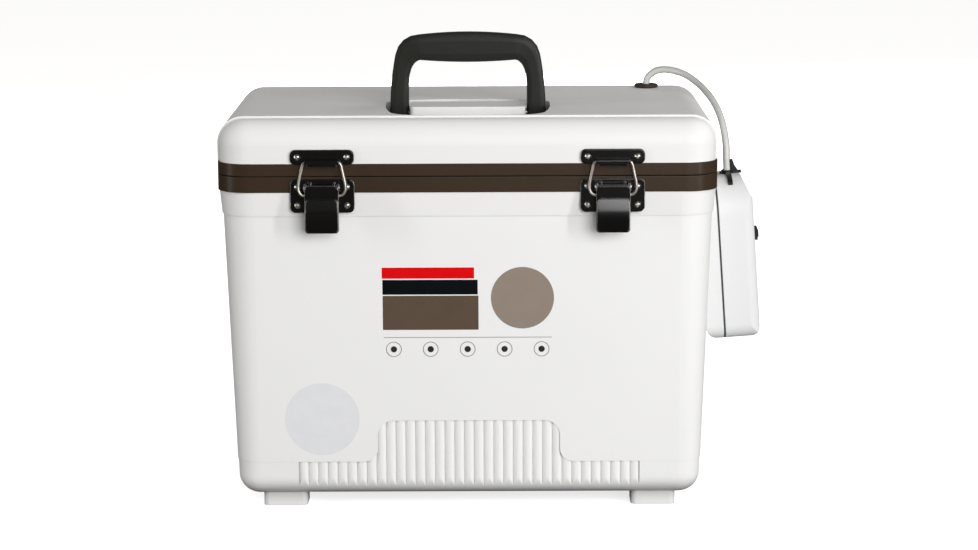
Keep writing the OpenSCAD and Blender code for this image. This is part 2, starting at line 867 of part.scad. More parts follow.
// The screwed plate with the ears that carry the lever's pin
module latch_base(s) {
    ear_x = lever_w / 2 - 2 * sheet_t - 0.4;
    ear_r = lever_pin_r + 1.2;
    edge_in = collar_bottom_in * (body_rim_z - base_bottom) / collar_h + 0.2;
    color(black)
        translate([s * latch_x, 0, 0])
            difference() {
                union() {
                    along(plate_y, front_y)
                        translate([0, (base_bottom + base_top) / 2])
                            rounded(plate_w, base_h, plate_corner_r);
                    for (x = [-plate_w / 2, plate_w / 2 - sheet_t])
                        across(x, x + sheet_t)
                            polygon([[front_y - eps, base_bottom + plate_corner_r],
                                     [front_y - eps, body_rim_z - fit_gap],
                                     [front_y + collar_top_in - 0.1, body_rim_z - fit_gap],
                                     [front_y + edge_in - 0.7, base_bottom + plate_corner_r]]);
                    for (x = [-ear_x, ear_x - sheet_t])
                        across(x, x + sheet_t) {
                            translate([lever_y, lever_z])
                                circle(ear_r);
                            translate([lever_y, lever_z - ear_r])
                                square([pivot_out + eps, 2 * ear_r]);
                        }
                }
                for (x = [-screw_x, screw_x], z = [low_screw_z, high_screw_z])
                    translate([x, plate_y - 1, z])
                        screw_hole(sheet_t + 2);
                across(-lever_w, lever_w)
                    translate([lever_y, lever_z])
                        circle(lever_pin_r + eps);
            }
}

module latch_base_left() {
    latch_base(-1);
}

module latch_base_right() {
    latch_base(1);
}

module latch_base_screws() {
    color(steel)
        base_screw_places([low_screw_z, high_screw_z])
            screw(base_screw_depth);
}

module latch_pins() {
    color(steel)
        for (s = [-1, 1])
            translate([s * latch_x, lever_y, lever_z])
                rotate([0, 90, 0]) {
                    cylinder(h = lever_w + 0.4, r = lever_pin_r, center = true);
                    for (e = [-1, 1])
                        translate([0, 0, e * (lever_w / 2 + 0.6)])
                            cylinder(h = 0.8, r = lever_pin_r + 0.9, center = true);
                }
}

// The channel-shaped lever, with a pressed pad on its front
module lever(s) {
    top = 3.2;
    front_top = 1.4;
    press_half = 13.5;
    pad_r = 62;
    color(black)
        translate([s * latch_x, 0, 0])
            difference() {
                union() {
                    along(lever_y - lever_out, lever_y - lever_out + sheet_t)
                        translate([0, lever_z + (front_top - lever_len) / 2])
                            rounded(lever_w, lever_len + front_top, 3);
                    for (x = [-lever_w / 2, lever_w / 2 - sheet_t])
                        across(x, x + sheet_t)
                            translate([lever_y, lever_z])
                                polygon([[-lever_out + 0.4, top - 3], [-lever_out + 1.5, top],
                                         [1.5, top], [3.2, 1], [4, -5], [4, -10],
                                         [-1.5, -20], [-2.2, 3 - lever_len],
                                         [-lever_out + 0.4, 3 - lever_len]]);
                    intersection() {
                        along(lever_y - lever_out - 2, lever_y - lever_out + 0.7)
                            translate([0, lever_z - lever_len + press_half + 0.6])
                                rounded(lever_w - 1.2, 2 * press_half, 3.5);
                        across(-lever_w, lever_w)
                            translate([lever_y - lever_out - 1.9 + pad_r,
                                       lever_z - lever_len + press_half + 0.6])
                                circle(pad_r, $fn = 96);
                    }
                }
                across(-lever_w, lever_w)
                    translate([lever_y, lever_z])
                        circle(lever_pin_r + pin_play);
                across(-lever_w, lever_w)
                    translate([bail_y, bail_z])
                        circle(bail_d / 2 + pin_play);
            }
}

module lever_left() {
    lever(-1);
}

module lever_right() {
    lever(1);
}

// The wire bail: ends turned into the lever, top over the strike's hook
module bail(s) {
    half = [
        [10.8, 0], [14.6, 0], [16.4, 0.5], [18, 2], [19.1, 4.4], [19.3, 7],
        [18.8, 11], [17.6, 16.5], [16.6, 21], [16, 24], [15.1, 26], [13.6, 27]
    ];
    scale_z = bail_rise / 27;
    lean = [0, (wire_y - bail_y) / bail_rise, 1];
    right = [for (p = half) [p[0], 0, 0] + p[1] * scale_z * lean];
    left = [for (i = [len(right) - 1 : -1 : 0]) [-right[i][0], right[i][1], right[i][2]]];
    color(steel)
        translate([s * latch_x, bail_y, bail_z])
            tube(concat(right, left), bail_d / 2, 12, cross([1, 0, 0], lean));
}

module bail_left() {
    bail(-1);
}

module bail_right() {
    bail(1);
}

// The strike plate with its upturned hook
module strike(s) {
    hook_z = bail_top - bail_d / 2 - 0.35;
    lip_y = wire_y - bail_d / 2 - 1.1;
    color(black)
        translate([s * latch_x, 0, 0])
            difference() {
                union() {
                    along(plate_y, front_y)
                        translate([0, strike_z + strike_h / 2])
                            rounded(plate_w, strike_h, plate_corner_r);
                    across(-hook_half, hook_half)
                        polygon([[front_y, strike_z + 4], [front_y, hook_z - sheet_t],
                                 [lip_y - sheet_t + 1, hook_z - sheet_t],
                                 [lip_y - sheet_t, hook_z - sheet_t + 1],
                                 [lip_y - sheet_t, hook_z + 0.8],
                                 [lip_y, hook_z + 0.8], [lip_y + 0.8, hook_z],
                                 [plate_y - 0.8, hook_z], [plate_y, hook_z + 0.8],
                                 [plate_y, strike_z + 4]]);
                    along(lip_y - sheet_t, lip_y)
                        translate([0, (hook_z + bail_top + lip_rise) / 2])
                            rounded(2 * lip_half, bail_top + lip_rise - hook_z, 1.2);
                }
                for (x = [-screw_x, screw_x])
                    translate([x, plate_y - 1, strike_screw_z])
                        screw_hole(sheet_t + 2);
            }
}

module strike_left() {
    strike(-1);
}

module strike_right() {
    strike(1);
}

module strike_screws() {
    color(steel)
        strike_screw_places()
            screw(lid_screw_depth);
}

// ---- Hinges ----

hinge_x = rim_w / 2 - 96;
hinge_y = rim_d / 2 + hinge_out;
knuckles = 5;
knuckle_w = hinge_w / knuckles;
hinge_body_screw_z = low_screw_z + 4;
hinge_lid_screw_z = strike_screw_z + 2;
hinge_screw_x = hinge_w / 2 - 9;

module hinge_screw_places(z) {
    for (s = [-1, 1], x = [-hinge_screw_x, hinge_screw_x])
        translate([s * hinge_x + x, rim_d / 2 + sheet_t, z])
            rotate([0, 0, 180])
                children();
}

// Knuckles of one leaf; first is 0 for the body's leaf and 1 for the lid's
module knuckles(first, r, gap) {
    for (i = [first : 2 : knuckles - 1])
        across(-hinge_w / 2 + i * knuckle_w + gap / 2, -hinge_w / 2 + (i + 1) * knuckle_w - gap / 2)
            translate([hinge_y, seam_z])
                circle(r);
}

module leaf(first, z0, z1, screw_z, bore) {
    color(steel)
        for (s = [-1, 1])
            translate([s * hinge_x, 0, 0])
                difference() {
                    union() {
                        difference() {
                            along(rim_d / 2, rim_d / 2 + sheet_t)
                                translate([0, (z0 + z1) / 2])
                                    rounded(hinge_w, z1 - z0, 2);
                            knuckles(1 - first, knuckle_r + 0.5, -0.6);
                        }
                        knuckles(first, knuckle_r, fit_gap);
                    }
                    across(-hinge_w, hinge_w)
                        translate([hinge_y, seam_z])
                            circle(bore);
                    for (x = [-hinge_screw_x, hinge_screw_x])
                        translate([x, rim_d / 2 + sheet_t + 1, screw_z])
                            rotate([0, 0, 180])
                                screw_hole(sheet_t + 2);
                }
}

module hinge_body_leaves() {
    leaf(0, seam_z - leaf_h, body_rim_top, hinge_body_screw_z, hinge_pin_r + eps);
}

module hinge_lid_leaves() {
    leaf(1, lid_rim_z, seam_z + leaf_h, hinge_lid_screw_z, hinge_pin_r + pin_play);
}

module hinge_pins() {
    color(steel)
        for (s = [-1, 1])
            translate([s * hinge_x, hinge_y, seam_z])
                rotate([0, 90, 0]) {
                    cylinder(h = hinge_w, r = hinge_pin_r, center = true);
                    for (e = [-1, 1])
                        translate([0, 0, e * (hinge_w / 2 - fit_gap / 2 + 0.6)])
                            cylinder(h = 1.2, r = hinge_pin_r + 1, center = true);
                }
}

module hinge_body_screws() {
    color(steel)
        hinge_screw_places(hinge_body_screw_z)
            screw(base_screw_depth);
}

module hinge_lid_screws() {
    color(steel)
        hinge_screw_places(hinge_lid_screw_z)
            screw(lid_screw_depth);
}

// ---- Air line ----

// The grommet's place from the tub's right and rear walls
grommet_x = tub_w / 2 - 25.5;
grommet_y = tub_d / 2 - 14.5;
disc_r = 10.5;
disc_h = 3.4;
neck_r = 5;
nut_r = 9;
bore_r = 1.8;
socket_h = 8;
neck_bottom = body_rim_top - plug_h - 8;

// Round-edged disc on the lid with a neck that runs down into the tub
module hose_grommet() {
    color(brown)
        translate([grommet_x, grommet_y, 0])
            difference() {
                union() {
                    translate([0, 0, lid_top])
                        rotate_extrude()
                            intersection() {
                                union() {
                                    square([disc_r - disc_h / 2, disc_h]);
                                    translate([disc_r - disc_h / 2, disc_h / 2])
                                        circle(disc_h / 2);
                                }
                                square([2 * disc_r, disc_h]);
                            }
                    translate([0, 0, neck_bottom])
                        cylinder(h = lid_top - neck_bottom + eps, r = neck_r);
                }
                translate([0, 0, lid_top + disc_h - socket_h])
                    cylinder(h = 2 * socket_h, r = hose_d / 2 + fit_gap);
                translate([0, 0, neck_bottom - 1])
                    cylinder(h = lid_h + 40, r = bore_r);
                translate([0, 0, neck_bottom - 1])
                    cylinder(h = socket_h + 1, r = inner_d / 2 + fit_gap);
            }
}

module grommet_nut() {
    color(brown)
        translate([grommet_x, grommet_y, body_rim_top - plug_h - 5])
            difference() {
                cylinder(h = 5, r = nut_r, $fn = 6);
                translate([0, 0, -1])
                    cylinder(h = 7, r = neck_r + eps);
            }
}

inner_d = 5;

// Route of the hose outside, from the grommet to the pump's boot
hose_end = [pump_x + air_u * cos(pump_lean), 0, pump_z]
    + (pump_h - 3) * [-sin(pump_lean), 0, cos(pump_lean)]
    + air_u * [0, 0, sin(pump_lean)];
hose_route = concat([
    [grommet_x, grommet_y, lid_top + disc_h - socket_h], [grommet_x, grommet_y, 333.5],
    [159.5, 91.8, 338.5], [162.5, 90.8, 342.3], [167, 88.8, 345.4],
    [172, 86.3, 346.8], [177, 83.3, 347], [184, 78.4, 346.2], [190, 73.2, 344.6],
    [195, 67.7, 342.3], [199.5, 61.6, 339.4], [204, 54.2, 336], [208, 46.3, 332],
    [212, 37.6, 327.2], [215.5, 29.3, 321.5], [218, 21.5, 315.5], [220, 14, 308.8],
    [221.3, 8.4, 302], [222.2, 4.2, 295], [222.8, 1.4, 287.5], [222.9, 0.2, 280],
    [hose_end[0] - 0.5, 0, hose_end[2] + 7]
], [hose_end]);
line_side = [0.816, 0.577, 0];

module air_hose() {
    color([0.78, 0.78, 0.76])
        tube(hose_route, hose_d / 2, 12, line_side);
}

// Route of the hose inside, from the grommet down to the air stone
stone_x = 108;
stone_y = 40;
stone_r = 7.5;
stone_z = tub_floor_z + stone_r - 0.3;
inner_route = [
    [grommet_x, grommet_y, neck_bottom + socket_h], [grommet_x, grommet_y, 262],
    [157.6, 91.2, 245], [154.8, 88, 222], [151.6, 84, 198], [149.6, 80, 174],
    [149.5, 76, 150], [150.5, 71.5, 127], [151.5, 66, 106], [151.8, 59.5, 88],
    [150.3, 53, 74], [146.6, 47.2, 63], [141.5, 43.2, 56.6], [136, 41, stone_z + 1.6],
    [130, stone_y, stone_z], [stone_x + 15.6, stone_y, stone_z]
];

module inner_hose() {
    color([0.78, 0.78, 0.76])
        tube(inner_route, inner_d / 2, 12, line_side);
}

module air_stone() {
    color([0.35, 0.45, 0.55])
        translate([stone_x, stone_y, stone_z])
            difference() {
                union() {
                    rotate([0, 90, 0])
                        cylinder(h = 24, r = stone_r, center = true);
                    rotate([0, 90, 0])
                        cylinder(h = 19, r = 3.6);
                }
                translate([15.5, 0, 0])
                    rotate([0, 90, 0])
                        cylinder(h = 10, r = inner_d / 2 + fit_gap);
                translate([-20, -20, -stone_r - 10 + 0.3])
                    cube([50, 40, 10]);
            }
}

// ---- Air pump ----
// Its own frame: u points out of the wall, y as before, w runs up the case;
// u = 0 is the joint between the two halves of the case.

module on_pump() {
    translate([pump_x, 0, pump_z])
        rotate([0, -pump_lean, 0])
            children();
}

// Side view of both halves, drawn as [u, w], off inside the outer surface
module side_profile(off) {
    outer = [
        for (a = [0 : 15 : 90])
            [pump_t - foot_r + (foot_r - off) * sin(a), foot_r - (foot_r - off) * cos(a)]
    ];
    inner = [
        for (a = [90 : -15 : 0])
            [back_r - back_t - (back_r - off) * sin(a), back_r - (back_r - off) * cos(a)]
    ];
    polygon(concat(outer,
        [[pump_t - off, pump_h - 17.5], [pump_t - 3.1 - off, pump_h - 11.5 - off * 0.6],
         [pump_t - 7.6 - off * 0.8, pump_h - off], [off - back_top_t, pump_h - off]],
        inner));
}

// The view from outside, drawn as [y, w]
module face_outline(off) {
    translate([0, pump_h / 2])
        intersection() {
            rounded(pump_w - 2 * off, pump_h - 2 * off, case_corner_r - off);
            translate([0, -pump_h / 2])
                rounded(pump_w - 2 * off, 2 * (pump_h - off), top_corner_r - off);
        }
}

module case_form(off, u0, u1) {
    intersection() {
        along(-pump_w, pump_w)
            side_profile(off);
        across(u0, u1)
            face_outline(off);
        translate([0, 0, -10])
            linear_extrude(pump_h + 20)
                rounded(2 * (pump_t - off), pump_w - 2 * off, 9 - off);
    }
}

cell_w = 14;
cell_top = cell_w + cell_len;
cell_u = pump_t - pump_wall - 0.3 - cell_d / 2;
shelf_low = cell_w - 2;
shelf_high = cell_top + 2;
motor_w = cell_top + 17.5;
motor_r = 12;
motor_back = 36;
motor_u = 12;
chamber_w = motor_w + 22;
chamber_top = pump_h - 8;
switch_w = motor_w - 9;
knob_h = 11;
case_screw_y = pump_w / 2 - 8;
case_screw_low = 7;
case_screw_high = motor_w + motor_r + 7;
boss_h = 18;
top_corner_r = min(pump_w / 2 - 12, pump_h - case_screw_high + 4);
seat_depth = 3;

module case_screw_places() {
    for (s = [-1, 1], w = [case_screw_low, case_screw_high])
        translate([0, s * case_screw_y, w])
            rotate([0, 90, 0])
                children();
}

module pump_back_case() {
    color(white)
        difference() {
            on_pump()
                difference() {
                    case_form(0, -back_t - 1, -seal_half);
                    difference() {
                        intersection() {
                            case_form(pump_wall, -back_t, 0);
                            translate([-30, -pump_w, -1])
                                cube([60, 2 * pump_w, cell_top + 6]);
                        }
                        case_screw_places()
                            translate([0, 0, -back_t])
                                cylinder(h = back_t, r = 4);
                    }
                    case_screw_places() {
                        translate([0, 0, -back_t - seat_depth])
                            cylinder(h = back_t, r = head_r + 0.4);
                        translate([0, 0, -seat_depth - 1])
                            cylinder(h = seat_depth + 2, r = shank_r + eps);
                    }
                }
            bracket_tab(0.1);
        }
}

module pump_front_case() {
    color(white)
        on_pump()
            difference() {
                union() {
                    difference() {
                        case_form(0, seal_half, pump_t + 1);
                        case_form(pump_wall, -1, pump_t + 1);
                    }
                    intersection() {
                        case_form(pump_wall - 0.1, seal_half, pump_t);
                        union() {
                            case_screw_places()
                                cylinder(h = boss_h, r = 4);
                            for (s = [-1, 1])
                                translate([seal_half, s * (case_screw_y + 4) - 4, case_screw_high - 1])
                                    cube([14, 8, 2]);
                            for (w = [shelf_low - 2, shelf_high])
                                translate([seal_half, -pump_w / 2, w])
                                    cube([pump_t, pump_w, 2]);
                            translate([seal_half, -20, chamber_top])
                                cube([pump_t, 40, 2.5]);
                            for (y = [-33, -17])
                                translate([seal_half, y, shelf_high])
                                    cube([pump_t, 3, motor_w - shelf_high - 1]);
                        }
                    }
                }
                case_screw_places()
                    cylinder(h = boss_h - 2, r = shank_r + eps);
                translate([motor_u, 0, motor_w])
                    rotate([90, 0, 0])
                        cylinder(h = motor_back, r = motor_r + 0.05);
                translate([air_u, 0, chamber_top - 1])
                    cylinder(h = 30, r = hose_d / 2 + fit_gap + 0.85);
                translate([pump_t - 10, -2.3, switch_w - 2.3])
                    cube([20, 4.6, 4.6 + switch_travel]);
                translate([pump_t - pump_wall - 4.4, -board_half - 0.3, shelf_high + 2])
                    cube([4.4, 2 * board_half + 0.6, 22]);
            }
}

board_half = 12;

module pump_seal() {
    color(rubber)
        on_pump()
            difference() {
                intersection() {
                    case_form(0, -seal_half, seal_half);
                    cube([2 * (pump_t - 0.8), 2 * pump_w, 4 * pump_h], center = true);
                }
                case_form(pump_wall, -2, 2);
            }
}

module pump_case_screws() {
    color(steel)
        on_pump()
            case_screw_places() {
                translate([0, 0, -seat_depth - 1])
                    cylinder(h = 1, r = head_r);
                translate([0, 0, -seat_depth - 0.5])
                    cylinder(h = boss_h - 1, r = shank_r);
            }
}

// Boot on the case's top: a strap, four arms and a fin behind the hose
module outlet_boot() {
    color(black)
        on_pump()
            difference() {
                union() {
                    across(air_u - 2, air_u + 2)
                        intersection() {
                            difference() {
                                face_outline(-2);
                                face_outline(0);
                            }
                            translate([-30, pump_h - 12])
                                square([60, 20]);
                        }
                    translate([air_u - 6.5, -2.5, pump_h])
                        cube([18.5, 5, 2]);
                    translate([air_u, 0, pump_h - 6])
                        cylinder(h = 9, r = hose_d / 2 + fit_gap + 0.8);
                    translate([air_u, 0, pump_h])
                        cylinder(h = 3, r = hose_d / 2 + 2);
                    along(-2, 2)
                        polygon([[air_u, pump_h + 1], [air_u + 10, pump_h + 1],
                                 [air_u + 6.5, pump_h + 7], [air_u + 5, pump_h + 12],
                                 [air_u + 3, pump_h + 12], [air_u, pump_h + 2]]);
                }
                translate([air_u, 0, pump_h - 3])
                    cylinder(h = 20, r = hose_d / 2 + fit_gap);
                translate([air_u, 0, pump_h - 7])
                    cylinder(h = 20, r = bore_r);
            }
}

module outlet_tube() {
    color(rubber)
        on_pump()
            translate([air_u, 0, chamber_top])
                difference() {
                    cylinder(h = pump_h - 6 - chamber_top, r = hose_d / 2 + 0.3);
                    translate([0, 0, -1])
                        cylinder(h = 20, r = bore_r);
                }
}

module switch_knob() {
    color(black)
        on_pump() {
            translate([pump_t + 0.1, -5, switch_w - knob_h / 2])
                cube([5, 10, knob_h]);
            translate([pump_t + 5.1, -5, switch_w - 3])
                cube([0.8, 10, 6]);
            translate([pump_t - pump_wall - 1, -2, switch_w - 2])
                cube([pump_wall + 1.2, 4, 4]);
        }
}

module switch_board() {
    color([0.10, 0.35, 0.20])
        on_pump()
            translate([pump_t - pump_wall - 4.3, -board_half, shelf_high + 2]) {
                cube([1.5, 2 * board_half, 19]);
                translate([1.4, board_half - 4, switch_w - shelf_high - 5])
                    cube([1.8, 8, 8]);
            }
}

module battery_cells() {
    color([0.55, 0.42, 0.20])
        on_pump()
            for (s = [-1, 1])
                translate([cell_u, s * (cell_d / 2 + 0.4), cell_w]) {
                    cylinder(h = cell_len - 1.5, r = cell_d / 2);
                    cylinder(h = cell_len, r = 4.8);
                }
}

contact_half = cell_d / 2;
contact_t = 0.8;

module battery_contacts() {
    color(steel)
        on_pump() {
            translate([2, -2 * contact_half, shelf_low])
                cube([pump_t - pump_wall - 3, 4 * contact_half, contact_t]);
            for (s = [-1, 1])
                translate([cell_u, s * (cell_d / 2 + 0.4), shelf_low + contact_t])
                    cylinder(h = cell_w - shelf_low - contact_t, r = 8);
            for (s = [-1, 1])
                translate([2, s * cell_d / 2 - 0.7 * contact_half, shelf_high - contact_t])
                    cube([pump_t - pump_wall - 3, 1.4 * contact_half, contact_t]);
            for (s = [-1, 1])
                translate([cell_u, s * (cell_d / 2 + 0.4), cell_top])
                    cylinder(h = shelf_high - contact_t - cell_top, r = 6);
        }
}

// The motor's barrel lies along y; its crank turns behind it
module motor() {
    color(steel)
        on_pump()
            translate([motor_u, 0, motor_w])
                rotate([-90, 0, 0]) {
                    translate([0, 0, -motor_back])
                        cylinder(h = motor_back - 10, r = motor_r);
                    translate([0, 0, -motor_back])
                        cylinder(h = motor_back - 8, r = 3);
                    translate([0, 0, -10])
                        cylinder(h = 7, r = 1);
                }
}

module motor_crank() {
    color(brown)
        on_pump()
            translate([motor_u, 0, motor_w])
                rotate([-90, 0, 0])
                    difference() {
                        union() {
                            translate([0, 0, -7.5])
                                cylinder(h = 5, r = 6.5);
                            translate([0, 3, -2.6])
                                cylinder(h = 5.6, r = 1.8);
                        }
                        translate([0, 0, -8])
                            cylinder(h = 5, r = 1 + pin_play);
                    }
}

module air_chamber() {
    color([0.25, 0.25, 0.27])
        on_pump()
            translate([air_u, 0, chamber_w])
                difference() {
                    cylinder(h = chamber_top - chamber_w, r = 10.4);
                    translate([0, 0, -1])
                        cylinder(h = chamber_top - chamber_w - 1.5, r = 8.4);
                    cylinder(h = 60, r = bore_r);
                }
}

module diaphragm() {
    color(rubber)
        on_pump()
            translate([air_u, 0, chamber_w - 1.5]) {
                cylinder(h = 1.5, r = 10.4);
                translate([0, 0, -13])
                    cylinder(h = 13.5, r = 2.5);
            }
}

// ---- Pump bracket ----

// X of the body's side wall, and of the pump's back, at a height
function wall_x(z) = rim_w / 2 - wall_in(z);
function case_x(z) = let (
        w0 = [-back_t, back_r], w1 = [-back_top_t, pump_h],
        c = cos(pump_lean), n = sin(pump_lean),
        a = [pump_x + w0[0] * c - w0[1] * n, pump_z + w0[0] * n + w0[1] * c],
        b = [pump_x + w1[0] * c - w1[1] * n, pump_z + w1[0] * n + w1[1] * c])
    a[0] + (b[0] - a[0]) * (z - a[1]) / (b[1] - a[1]);

bracket_z0 = pump_z + 24;
bracket_z1 = ledge_z - 6;
bracket_half = 34;
pad_half = 21;
bracket_sheet = 1.8;
bracket_screw_in = 7;
bracket_screw_len = 4.6;

module bracket_tab(grow) {
    top = body_rim_z - 3.5;
    x = case_x(top) + 2.4;
    along(-14 - grow, 14 + grow)
        polygon([[wall_x(bracket_z1) + 1, bracket_z1 - 9], [x, bracket_z1 - 5],
                 [x + grow, bracket_z1 - 4], [x + grow, top + (grow > 0 ? 9 : 0)],
                 [x - 2.2 - grow, top + (grow > 0 ? 9 : 0)],
                 [x - 2.2 - grow, bracket_z1 + 1], [x - 4, bracket_z1 - 1]]);
}

// A screw place on the body's side wall; its axis runs into the wall
module bracket_screw_places() {
    for (s = [-1, 1], z = [bracket_z0 + bracket_screw_in + 1, bracket_z1 - bracket_screw_in - 1])
        translate([wall_x(z), s * (bracket_half - bracket_screw_in), z])
            rotate([0, -90 + draft, 0])
                children();
}

module pump_bracket() {
    seat = 0.05;
    color(black)
        difference() {
            union() {
                along(-bracket_half, bracket_half)
                    polygon([[wall_x(bracket_z0) + seat, bracket_z0],
                             [wall_x(bracket_z1) + seat, bracket_z1],
                             [wall_x(bracket_z1) + bracket_sheet, bracket_z1],
                             [wall_x(bracket_z0) + bracket_sheet, bracket_z0]]);
                along(-pad_half, pad_half)
                    polygon([[wall_x(bracket_z0) + seat, bracket_z0],
                             [wall_x(bracket_z1) + seat, bracket_z1],
                             [case_x(bracket_z1) - seat, bracket_z1],
                             [case_x(bracket_z0) - seat, bracket_z0]]);
                bracket_tab(0);
            }
            bracket_screw_places() {
                translate([0, 0, -4])
                    cylinder(h = 8, r = shank_r + eps);
                translate([0, 0, -bracket_sheet - 3])
                    cylinder(h = 4, r = head_r + 0.4);
            }
        }
}

module bracket_screws() {
    color(steel)
        bracket_screw_places() {
            translate([0, 0, -bracket_sheet + 0.25])
                cylinder(h = 0.75, r = head_r);
            translate([0, 0, -1])
                cylinder(h = bracket_screw_len + 0.6, r = shank_r);
        }
}

body_shell();
body_rim();
body_liner();
body_foam();
foot_pads();
lid_shell();
lid_rim();
lid_liner();
lid_foam();
lid_seal();
handle();
handle_rod();
strike_left();
strike_right();
strike_screws();
latch_base_left();
latch_base_right();
latch_base_screws();
latch_pins();
lever_left();
lever_right();
bail_left();
bail_right();
hinge_body_leaves();
hinge_lid_leaves();
hinge_pins();
hinge_body_screws();
hinge_lid_screws();
hose_grommet();
grommet_nut();
air_hose();
inner_hose();
air_stone();
pump_bracket();
bracket_screws();
pump_back_case();
pump_front_case();
pump_seal();
pump_case_screws();
outlet_boot();
outlet_tube();
switch_knob();
switch_board();
battery_cells();
battery_contacts();
motor();
motor_crank();
air_chamber();
diaphragm();
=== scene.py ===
# %% [markdown]
# # An aerated bait bucket
# The hard parts of this box come ready made from the frame, in metres. This
# notebook adds what a camera sees: the air hoses, the printed shapes on the
# front, and a finish for every piece. The box is white moulded plastic, so most
# of the work is in soft light and small changes of surface.

# %% Load the frame
import bpy
import bmesh
from math import radians, pi, sin, cos, tan
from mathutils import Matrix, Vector


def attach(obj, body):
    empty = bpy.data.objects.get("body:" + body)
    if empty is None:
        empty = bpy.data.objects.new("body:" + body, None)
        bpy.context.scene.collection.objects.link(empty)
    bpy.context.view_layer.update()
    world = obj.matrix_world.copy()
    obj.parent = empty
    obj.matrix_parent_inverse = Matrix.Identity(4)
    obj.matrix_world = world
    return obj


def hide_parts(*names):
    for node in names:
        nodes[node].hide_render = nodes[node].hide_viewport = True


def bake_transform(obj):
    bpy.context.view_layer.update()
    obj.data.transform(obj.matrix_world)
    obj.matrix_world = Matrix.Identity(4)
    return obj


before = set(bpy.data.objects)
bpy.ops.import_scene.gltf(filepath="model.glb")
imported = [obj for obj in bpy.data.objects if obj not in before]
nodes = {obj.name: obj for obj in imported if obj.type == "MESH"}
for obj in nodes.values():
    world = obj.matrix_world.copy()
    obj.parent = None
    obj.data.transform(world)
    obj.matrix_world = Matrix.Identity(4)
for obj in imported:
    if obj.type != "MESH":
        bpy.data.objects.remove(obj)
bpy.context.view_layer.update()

# %% [markdown]
# ## Camera
# The photo was taken with a long lens from a little above the lid, almost
# straight on. A camera fitted to the outline of the box gives 97 mm on a 36 mm
# sensor, tipped 10.5 degrees down and rolled by a fifth of a degree, as the rims
# rise a little to the right. A long lens keeps the walls nearly parallel.

# %% Camera
CAMERA_PLACE = (0.0176, -2.2591, 0.59705)
TIPPED_DOWN = 10.514
ROLLED = 0.22
LENS = 97.06
SENSOR = 36
FRAME_SHIFT = (0.0015, -0.0007)
FAR_END = 50

bpy.ops.object.select_all(action="DESELECT")
bpy.ops.object.camera_add(
    location=CAMERA_PLACE, rotation=(radians(90 - TIPPED_DOWN), radians(ROLLED), 0))
camera = bpy.context.object
camera.name = "photo_camera"
camera.data.lens = LENS
camera.data.sensor_width = SENSOR
camera.data.shift_x, camera.data.shift_y = FRAME_SHIFT
camera.data.clip_end = FAR_END
bpy.context.scene.camera = camera
bpy.context.scene.view_settings.view_transform = "Standard"
print("camera lens:", camera.data.lens)

# %% [markdown]
# ## Floor
# The box stands on a white floor with hardly any shadow. More light would burn
# out the white plastic, so the floor has three answers instead: to the camera
# it is white with a little glow of its own, to the plastic it bounces only a
# little light, and in a shiny surface it shows nearly black. That last one is
# what lets the dark lacquer of the latches stay dark.

# %% Floor
FLOOR_SIZE = 24
FLOOR_COLOUR = 0.93
FLOOR_GLOW = 0.72
FLOOR_BOUNCE = 0.22
FLOOR_MIRRORED = 0.07


def new_material(name):
    """An empty node material and its node tree."""
    material = bpy.data.materials.new(name)
    material.use_nodes = True
    material.node_tree.nodes.clear()
    return material, material.node_tree


def matt(tree, value):
    """A grey diffuse shader."""
    node = tree.nodes.new("ShaderNodeBsdfDiffuse")
    node.inputs["Color"].default_value = (value, value, value, 1)
    return node.outputs[0]


def mix_shader(tree, factor, first, second):
    """The first shader where the factor is 0, the second where it is 1."""
    node = tree.nodes.new("ShaderNodeMixShader")
    for at, socket in enumerate((factor, first, second)):
        tree.links.new(socket, node.inputs[at])
    return node.outputs[0]


bpy.ops.object.select_all(action="DESELECT")
bpy.ops.mesh.primitive_plane_add(size=FLOOR_SIZE, location=(0, 0, 0))
floor = bpy.context.object
floor.name = "floor"

floor_paint, tree = new_material("floor_paint")
ray = tree.nodes.new("ShaderNodeLightPath")
glow = tree.nodes.new("ShaderNodeEmission")
glow.inputs["Strength"].default_value = FLOOR_GLOW
shown = tree.nodes.new("ShaderNodeAddShader")
tree.links.new(matt(tree, FLOOR_COLOUR), shown.inputs[0])
tree.links.new(glow.outputs[0], shown.inputs[1])
bounced = mix_shader(tree, ray.outputs["Is Glossy Ray"],
                     matt(tree, FLOOR_BOUNCE), matt(tree, FLOOR_MIRRORED))
floor_out = tree.nodes.new("ShaderNodeOutputMaterial")
tree.links.new(mix_shader(tree, ray.outputs["Is Camera Ray"], bounced, shown.outputs[0]),
               floor_out.inputs["Surface"])
floor.data.materials.append(floor_paint)
print("floor:", floor.name, FLOOR_SIZE, "m")

# %% [markdown]
# ## Sky
# The sky follows the same idea. The camera sees plain white, the plastic gets a
# weak and slightly warm fill, and shiny surfaces see an even weaker one.

# %% Sky
SKY_FILL = 0.25
SKY_MIRRORED = 0.10
SKY_SEEN = 1.0
WARM = (1, 0.972, 0.945)
PLAIN = (1, 1, 1)


def calc(tree, kind, a, b=None):
    """A Math node; a and b are sockets or numbers."""
    node = tree.nodes.new("ShaderNodeMath")
    node.operation = kind
    for at, value in enumerate((a, b)):
        if value is None:
            continue
        if isinstance(value, (int, float)):
            node.inputs[at].default_value = value
        else:
            tree.links.new(value, node.inputs[at])
    return node.outputs[0]


def sky_light(tree, colour, strength):
    """A background shader."""
    node = tree.nodes.new("ShaderNodeBackground")
    node.inputs["Color"].default_value = (*colour, 1)
    node.inputs["Strength"].default_value = strength
    return node.outputs[0]


